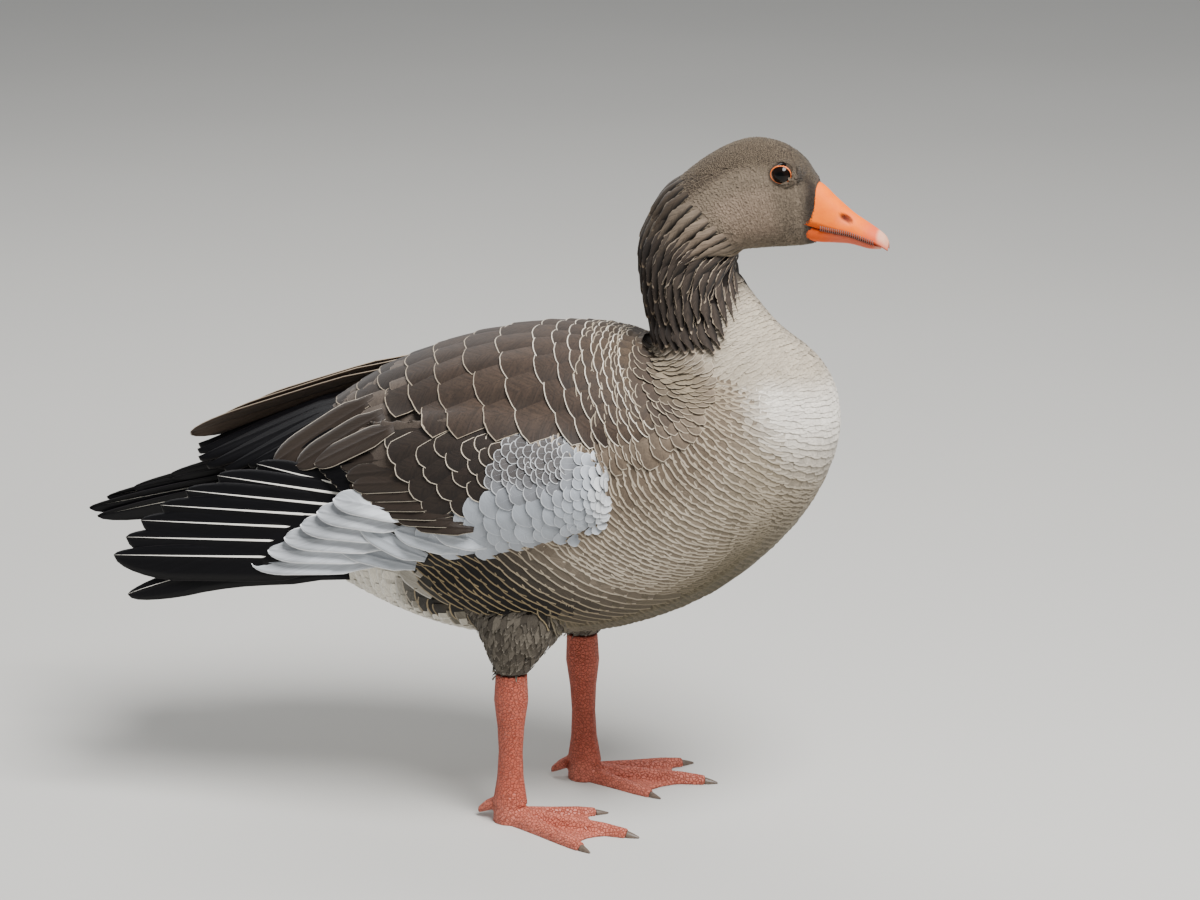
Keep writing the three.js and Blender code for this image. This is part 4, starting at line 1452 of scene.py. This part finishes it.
for side, lift in (("right", 0), ("left", 12)):
    up = np.array((0, 0, lift, 0, 0, lift, 0, 0))
    secondaries = fan((-120, 86, 300, -197, 74, 275, 16, 0), (-95, 100, 262, -156, 94, 249, 14, 0), 9) + up
    quills(
        f"secondaries_{side}", side, secondaries, OUTWARD, black_vanes, BLACK, colour("a49a8d"), tilt=0.1,
    )
    quills(
        f"greater_coverts_{side}", side, np.array(GREATER_COVERTS, float) + up, OUTWARD, brown_quills,
        colour("2d231b"), colour("cbc0ae"), tuck=12, tip_from=0.8, tilt=0.1, sink=5.0,
    )
    hand = fan((-112, 106, 256, -180, 92, 259, 19, 0), (-150, 92, 212, -246, 92, 203, 19, 0), 6) + up
    quills(
        f"primary_coverts_{side}", side, hand, OUTWARD, hand_plumes, colour("dde1e6"), colour("ffffff"),
        bar=0.5, tilt=0.12, camber=0.01, sink=8.0,
    )
    quills(
        f"alula_{side}", side, np.array(ALULA, float) + up, OUTWARD, silver_plumes, colour("bcc1c7"),
        colour("f4f6f7"), sharp=1.3, sink=7.0, camber=0.01,
    )

# ---------------------------------------------------------------- tail


def tail_rows(count, base, tip, breadth, curve):
    """A spread row of tail feathers. Base and tip are x, z and the row's half width.

    curve is how much shorter the outermost are.
    """
    share = np.linspace(-1, 1, count)
    inner = 1 - np.abs(share)
    rows = np.zeros((count, 8))
    rows[:, 0] = base[0]
    rows[:, 1] = share * base[2]
    rows[:, 2] = base[1] + 1.2 * inner
    rows[:, 3] = tip[0] + curve * share**2
    rows[:, 4] = share * tip[2]
    rows[:, 5] = tip[1] - 4 * share**2 + 2.5 * inner
    rows[:, 6] = breadth
    return rows


rectrices = tail_rows(16, (-250, 240, 20), (-335, 207, 38), 17, 14)
over_tail = tail_rows(11, (-236, 258, 26), (-292, 232, 34), 18, 10)
under_tail = tail_rows(11, (-236, 210, 26), (-316, 205, 32), 20, 14)
TAIL_FACE = (0.3, 0, 1)
quills(
    "tail_quills", "left", rectrices, TAIL_FACE, brown_quills, colour("6a5f55"), colour("f0eee8"),
    camber=0.03,
)
quills("tail_coverts_upper", "left", over_tail, TAIL_FACE, silver_plumes, WHITE, WHITE, camber=0.05)
quills(
    "tail_coverts_lower", "left", under_tail, (0.0, 0, -1), silver_plumes, WHITE, WHITE, camber=0.05, turn=-1
)

# ---------------------------------------------------------------- thighs

TUFT_GAP = 3.7


def spread_out(points, gap, rng):
    """Some of the points, in random order, no two nearer than the gap."""
    kept = []
    cells = {}
    for i in rng.permutation(len(points)):
        p = points[i]
        x, y, z = (p // gap).astype(int)
        around = [(x + dx, y + dy, z + dz) for dx in (-1, 0, 1) for dy in (-1, 0, 1) for dz in (-1, 0, 1)]
        near = [q for cell in around for q in cells.get(cell, ())]
        if all(np.sum((p - q) ** 2) > gap**2 for q in near):
            cells.setdefault((x, y, z), []).append(p)
            kept.append(p)
    return np.array(kept)


def leg_tree(side):
    """The skin with the top of the shank below it."""
    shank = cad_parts[f"shank_{side}"].data
    points = np.vstack([off_frame(points_of(mesh)) for mesh in (skin.data, shank)])
    faces = [tuple(p.vertices) for p in skin.data.polygons]
    start = len(skin.data.vertices)
    faces += [tuple(start + k for k in p.vertices) for p in shank.polygons]
    return BVHTree.FromPolygons(points.tolist(), faces)


def grow_thigh(side, seed):
    """Loose tufts over the thigh, hanging down to the ankle."""
    rng = np.random.default_rng(seed)
    tree = leg_tree(side)
    low, high = (off_frame(corner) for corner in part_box(f"thigh_{side}"))
    middle = (low + high) / 2
    points = off_frame(points_of(skin.data))
    inside = np.all((points > low - 3) & (points < high + (3, 3, 6)), axis=-1)
    roots = spread_out(points[inside], TUFT_GAP, rng)
    roots = roots[roots[:, 2] > low[2] + 1]
    lies = np.tile((-0.25, 0.0, -1.0), (len(roots), 1)) + rng.normal(0, 0.08, (len(roots), 3))
    share = (roots - low) / (high - low)
    grey, dark = colour("736b5f"), colour("4a433a")
    tone = mix(np.tile(grey, (len(roots), 1)), dark, rng.uniform(0, 1, len(roots)))
    paints = flat_paints(len(roots), tone, colour("a39a8b"), 0.1, 0.35)
    angle = np.arctan2(roots[:, 1] - middle[1], roots[:, 0] - middle[0])
    places = np.stack([angle / (2 * np.pi) + 0.5, share[:, 2]], -1) * 0.94 + 0.03
    shape = vane(
        columns=5, rows=6, waist=0.6, round_tip=0.9, point=0.6, camber=0.05, ragged=0.25, tip_height=2.6,
        height_jitter=0.4,
    )
    length = rng.uniform(11, 19, len(roots)) * (0.5 + 0.5 * ease(roots[:, 2] - low[2], 1, 12))
    name = f"coat_thigh_{side}"
    lay(name, places, roots, lies, length, 6.0, shape, paints, soft_plumes, "plumage_trunk", seed, tree=tree)


for side, seed in (("right", 91), ("left", 95)):
    grow_thigh(side, seed)

# ---------------------------------------------------------------- eyes and lids


def ring_mesh(name, rings):
    """A closed band through rings of points, joined back to the first ring."""
    rings = np.asarray(rings)
    count, around, _ = rings.shape
    i = np.arange(count)[:, None]
    j = np.arange(around)[None, :]
    after, beside = (i + 1) % count, (j + 1) % around
    corners = [i * around + j, after * around + j, after * around + beside, i * around + beside]
    return mesh_from(name, rings.reshape(-1, 3), np.stack(corners, -1).reshape(-1, 4))


def make_eye(side):
    """The eyeball, closed behind and slightly swollen in front, with a dark iris and pupil."""
    sign = SIDES[side]
    centre = EYE * (1, sign, 1)
    around, rings = 48, 25
    angle = np.linspace(0, 2 * np.pi, around, endpoint=False)
    polar = np.linspace(0.02, np.pi - 0.02, rings)
    radius = EYE_RADIUS + 0.5 * ease(polar, 0.75, 0.0)
    x = radius[:, None] * np.sin(polar)[:, None] * np.cos(angle)
    z = radius[:, None] * np.sin(polar)[:, None] * np.sin(angle)
    y = np.broadcast_to(sign * (radius * np.cos(polar))[:, None], x.shape)
    points = np.stack([x, y, z], -1) + centre
    faces = grid_faces(1, rings, around, wrap=True)
    mesh = mesh_from(f"eye_ball_{side}", points.reshape(-1, 3), faces)
    capped(mesh)
    where = off_frame(points_of(mesh)) - centre
    off_axis = np.hypot(where[:, 0], where[:, 2])
    iris = mix(np.tile(colour("140a06"), (len(where), 1)), colour("0c0706"), ease(off_axis, 4.6, 6.2))
    paint(mesh, "tint", mix(iris, colour("020202"), ease(off_axis, 3.6, 3.1)))
    thing = new_object(f"eye_ball_{side}", mesh)
    f = Finish(f"eye_{side}", 0.12, 0.1, Coat_Weight=0.2, Coat_Roughness=0.02)
    spark = f.step(f.noise(2600.0, 3.0), 0.35, 0.7, 0.0, 0.4)
    material = f.paint(f.blend(spark, f.attribute("tint").outputs["Color"], colour("000000")))
    wear(thing, material, "eye", f"eye_{side}")


# The lid's section, from its inner edge outwards and back: how far off the eye's axis and from its centre.
LID_SECTION = (
    (6.35, 7.9),
    (6.4, 8.6),
    (6.65, 8.9),
    (7.05, 8.85),
    (7.4, 8.55),
    (7.85, 8.1),
    (8.15, 7.5),
    (6.7, 7.1),
)


def make_lid(side):
    """A thin orange ring round the eye."""
    sign = SIDES[side]
    centre = EYE * (1, sign, 1)
    angle = np.linspace(0, 2 * np.pi, 72, endpoint=False)
    rings = []
    for off_axis, from_centre in LID_SECTION:
        scallop = 1 + 0.012 * np.sin(angle * 24) * (off_axis > 6.4)
        x = off_axis * 1.1 * np.cos(angle) * scallop - 0.4 * (np.cos(angle) < 0) * np.cos(angle) ** 2
        z = off_axis * 0.94 * np.sin(angle) * scallop
        out = np.sqrt(np.maximum(from_centre**2 - off_axis**2, 0.1)) + 0 * angle
        rings.append(np.stack([x, sign * out, z], -1) + centre)
    mesh = ring_mesh(f"eye_lid_{side}", rings)
    thing = outward(new_object(f"eye_lid_{side}", mesh))
    where = off_frame(points_of(thing.data)) - centre
    off_axis = np.hypot(where[:, 0] / 1.1, where[:, 2] / 0.94)
    tone = mix(np.tile(colour("5c1f12"), (len(where), 1)), colour("e8732c"), ease(off_axis, 6.45, 6.7))
    tone = mix(tone, colour("5d4c3c"), ease(off_axis, 7.25, 7.6))
    paint(thing.data, "tint", tone)
    f = Finish(f"lid_{side}", 0.45, 0.4)
    grain = f.noise(1500.0, 3.0)
    f.bump(grain, 0.3, 0.0003)
    spots = f.step(grain, 0.4, 0.7, 0.0, 0.25)
    material = f.paint(f.blend(spots, f.attribute("tint").outputs["Color"], colour("401505")))
    wear(thing, material, "eye")


for side in SIDES:
    make_eye(side)
    make_lid(side)

# ---------------------------------------------------------------- bill

# A row of the upper bill is x, ridge height, cutting edge height and half width. A row of the lower bill is
# x, cutting edge height, keel height and half width.
UPPER_BILL = (
    (157, 500, 471, 15.0),
    (166, 499, 468.5, 13.6),
    (178, 488.5, 466.5, 12.7),
    (190, 478.5, 464.5, 11.8),
    (202, 471, 460.5, 10.5),
    (210, 466, 457.5, 8.8),
    (214.5, 462.5, 454.5, 6.6),
    (217, 458.5, 452, 3.4),
)
LOWER_BILL = (
    (158, 469.5, 457, 13.2),
    (166, 467.3, 455.8, 12.2),
    (178, 465.2, 456, 11.4),
    (190, 463.0, 455.8, 10.4),
    (202, 459.0, 453.2, 9.0),
    (208, 456.6, 452.8, 6.8),
    (211.5, 455.2, 452.7, 4.2),
)
NOSTRIL = np.array((187.0, 476.0))


def make_upper_bill():
    """The upper bill, with a nostril on each side and a pale nail at its tip."""
    rows, around = 60, 56
    x, ridge, edge, half = smooth_rows(UPPER_BILL, np.linspace(0, len(UPPER_BILL) - 1, rows)).T
    turn = np.linspace(0, 2 * np.pi, around, endpoint=False)
    up = np.maximum(np.sin(turn), 0) ** 0.82
    out = np.sign(np.cos(turn)) * np.abs(np.cos(turn)) ** 0.8
    hollow = np.maximum(-np.sin(turn), 0)
    z = edge[:, None] + (ridge - edge)[:, None] * up[None] + 2.0 * hollow[None]
    y = half[:, None] * out[None] * (1 - 0.12 * hollow[None])
    xs = np.broadcast_to(x[:, None], z.shape).copy()
    slanted_z = z - NOSTRIL[1] + 0.45 * (xs - NOSTRIL[0])
    side = np.abs(out)[None] > 0.25
    pit = ease(np.hypot((xs - NOSTRIL[0]) / 6.0, slanted_z / 3.0), 1.0, 0.55) * side
    dish = ease(np.hypot((xs - 187) / 10, (z - 475) / 6), 1.0, 0.3) * side
    y = y * (1 - 0.13 * pit - 0.05 * dish)
    points = np.stack([xs, y, z], -1).reshape(-1, 3)
    mesh = mesh_from("bill_top", points, grid_faces(1, rows, around, wrap=True))
    base = mix(np.tile(colour("ff7500"), (len(points), 1)), colour("e2603c"), ease(points[:, 0], 194, 208))
    base = mix(base, colour("e3a98e"), ease(points[:, 0], 208, 211))
    low = ease(points[:, 2] - np.repeat(edge, around), 5.0, 1.0)
    base = mix(base, colour("d9482c"), low * 0.6)
    base = mix(base, colour("f0764a"), dish.reshape(-1) * 0.6)
    # Painted shade: the nostril's opening, which the mesh only dents, is painted a dark red-black.
    base = mix(base, colour("4a120a"), pit.reshape(-1))
    paint(mesh, "tint", np.clip(base, 0, 1))
    capped(mesh)
    wear(new_object("bill_top", mesh), horn_finish("bill_horn"), "bill", "bill_upper")


def make_lower_bill():
    rows, around = 50, 48
    x, edge, keel, half = smooth_rows(LOWER_BILL, np.linspace(0, len(LOWER_BILL) - 1, rows)).T
    turn = np.linspace(0, 2 * np.pi, around, endpoint=False)
    down = np.maximum(-np.sin(turn), 0) ** 0.8
    out = np.sign(np.cos(turn)) * np.abs(np.cos(turn)) ** 0.75
    z = edge[:, None] - (edge - keel)[:, None] * down[None]
    y = half[:, None] * out[None]
    xs = np.broadcast_to(x[:, None], z.shape)
    points = np.stack([xs, y, z], -1).reshape(-1, 3)
    mesh = mesh_from("bill_under", points, grid_faces(1, rows, around, wrap=True)[:, ::-1])
    base = mix(np.tile(colour("e0591d"), (len(points), 1)), colour("cf6650"), ease(points[:, 0], 166, 184))
    base = mix(base, colour("d9a692"), ease(points[:, 0], 206, 211))
    paint(mesh, "tint", base)
    capped(mesh)
    wear(new_object("bill_under", mesh), horn_finish("bill_horn_lower"), "bill", "bill_lower")


def make_lamellae():
    """The row of small plates along the cutting edges, dark between."""
    count = 27
    pieces = []
    for sign in SIDES.values():
        x = np.linspace(169, 207, count)
        row = smooth_rows(UPPER_BILL, np.interp(x, np.array(UPPER_BILL)[:, 0], np.arange(len(UPPER_BILL))))
        for k in range(count):
            centre = np.array((x[k], sign * (row[k, 3] * 0.965), row[k, 2] - 0.2))
            corners = []
            for dz, wide in ((2.4, 0.42), (-0.9, 0.5), (-1.7, 0.2)):
                for dx, dy in ((-wide, 0.5), (wide, 0.5), (wide, -1.2), (-wide, -1.2)):
                    corners.append(centre + (dx, sign * dy, dz))
            pieces.append(corners)
    points = np.array(pieces).reshape(-1, 3)
    faces = grid_faces(len(pieces), 3, 4, wrap=True)
    mesh = mesh_from("bill_lamellae", points, faces)
    capped(mesh)
    thing = outward(new_object("bill_lamellae", mesh))
    f = Finish("lamella", 0.5, 0.4)
    grain = f.noise(800.0, 2.0)
    wear(thing, f.paint(f.blend(grain, colour("8a5a4c"), colour("3a1a16"))), "bill")


def horn_finish(name):
    f = Finish(name, 0.55, 0.1)
    fine = f.noise(700.0, 4.0)
    broad = f.noise(140.0, 2.0)
    tint = f.attribute("tint").outputs["Color"]
    base = f.blend(f.step(broad, 0.35, 0.7, 0.0, 0.22), tint, colour("dc5000"))
    base = f.blend(f.step(fine, 0.45, 0.75, 0.0, 0.12), base, colour("ff9c20"))
    f.bump(fine, 0.25, 0.0004)
    return f.paint(base)


make_upper_bill()
make_lower_bill()
make_lamellae()

# ---------------------------------------------------------------- legs and feet


# Scales of the leg's skin to a metre.
SCALES = 400.0


def leg_finish():
    f = Finish("leg_skin", 0.5, 0.4, Subsurface_Weight=0.06, Subsurface_Scale=0.003)
    cells = f.node("ShaderNodeTexVoronoi", {"feature": "DISTANCE_TO_EDGE"}, Vector=f.place(), Scale=SCALES)
    shades = f.node("ShaderNodeTexVoronoi", Vector=f.place(), Scale=SCALES)
    seam = f.step(cells.outputs["Distance"], 0.0, 0.16)
    height = f.split(f.place())["Z"]
    base = f.blend(f.step(height, 0.004, 0.03), colour("c96f5c"), colour("bb5a46"))
    base = f.blend(f.step(f.noise(60.0, 3.0), 0.4, 0.7, 0.0, 0.35), base, colour("9c4430"))
    base = f.blend(f.maths("MULTIPLY", shades.outputs["Distance"], 0.12), base, colour("e59a78"))
    base = f.blend(f.step(seam, 1.0, 0.0, 0.0, 0.6), base, colour("7d3020"))
    f.bump(seam, 0.8, 0.0009)
    return f.paint(base)


def claw_finish():
    f = Finish("claw_horn", 0.4, 0.45)
    x, y, z = f.split(f.place())
    grain = f.noise(300.0, 3.0, f.join(x, f.maths("MULTIPLY", y, 4.0), z))
    f.bump(grain, 0.2, 0.0003)
    return f.paint(f.blend(grain, colour("7b6a5c"), colour("3d342e")))


leg_skin = leg_finish()
claw_horn = claw_finish()
for side in SIDES:
    nodes = (f"shank_{side}", f"foot_{side}", f"hallux_{side}")
    leg = merged_nodes(f"leg_skin_{side}", nodes, 0.25, 1.1, 3)
    wear(leg, leg_skin, "leg", *nodes)
    for toe in ("middle", "inner", "outer"):
        node = f"claw_{side}_{toe}"
        claw = merged_nodes(f"nail_{side}_{toe}", (node,), 0.0, 0.5, 2)
        wear(claw, claw_horn, "claw", node)

# ---------------------------------------------------------------- floor, light and camera

# The camera, with its distance in millimetres and its lens and sensor in the camera's own.
AIM = np.array((0.0, 0.0, 284.0))
AZIMUTH = math.radians(15)
ELEVATION = math.radians(16.5)
DISTANCE = 3000
LENS = 119.7
SENSOR = 36
# Half the floor's side and the middle of the lit figure, in metres.
FLOOR_HALF = 8.0
LIT = (0.0, 0.0, 0.28)
SKY = (0.93, 0.96, 1.0, 1)
SKY_STRENGTH = 0.36


def make_floor():
    mesh = bpy.data.meshes.new("floor")
    corners = [(x * FLOOR_HALF, y * FLOOR_HALF, 0) for x, y in ((-1, -1), (1, -1), (1, 1), (-1, 1))]
    mesh.from_pydata(corners, [], [(0, 1, 2, 3)])
    thing = new_object("floor", mesh)
    f = Finish("floor", 0.9, 0.1)
    mesh.materials.append(f.paint(f.blend(f.noise(1.5, 2.0), colour("cbc9c4"), colour("c3c1bc"))))


def soft_light(name, place, size, power):
    data = bpy.data.lights.new(name, "AREA")
    data.shape = "DISK"
    data.size = size
    data.energy = power
    lamp = bpy.data.objects.new(name, data)
    bpy.context.scene.collection.objects.link(lamp)
    lamp.location = place
    lamp.rotation_euler = (Vector(LIT) - Vector(place)).to_track_quat("-Z", "Y").to_euler()


def make_stage():
    make_floor()
    world = bpy.data.worlds.new("overcast")
    world.use_nodes = True
    sky = world.node_tree.nodes["Background"].inputs
    sky["Color"].default_value = SKY
    sky["Strength"].default_value = SKY_STRENGTH
    bpy.context.scene.world = world
    soft_light("sky_key", (1.1, -0.85, 2.4), 1.3, 143)
    soft_light("sky_back", (-0.9, 1.2, 2.0), 1.6, 25)


def make_camera():
    data = bpy.data.cameras.new("camera")
    data.sensor_width = SENSOR
    data.lens = LENS
    data.clip_end = 50
    camera = bpy.data.objects.new("camera", data)
    bpy.context.scene.collection.objects.link(camera)
    level = math.cos(ELEVATION)
    away = np.array((math.sin(AZIMUTH) * level, -math.cos(AZIMUTH) * level, math.sin(ELEVATION)))
    camera.location = put_on_frame(AIM + away * DISTANCE)
    camera.rotation_euler = Vector(-away).to_track_quat("-Z", "Y").to_euler()
    bpy.context.scene.camera = camera


make_stage()
make_camera()
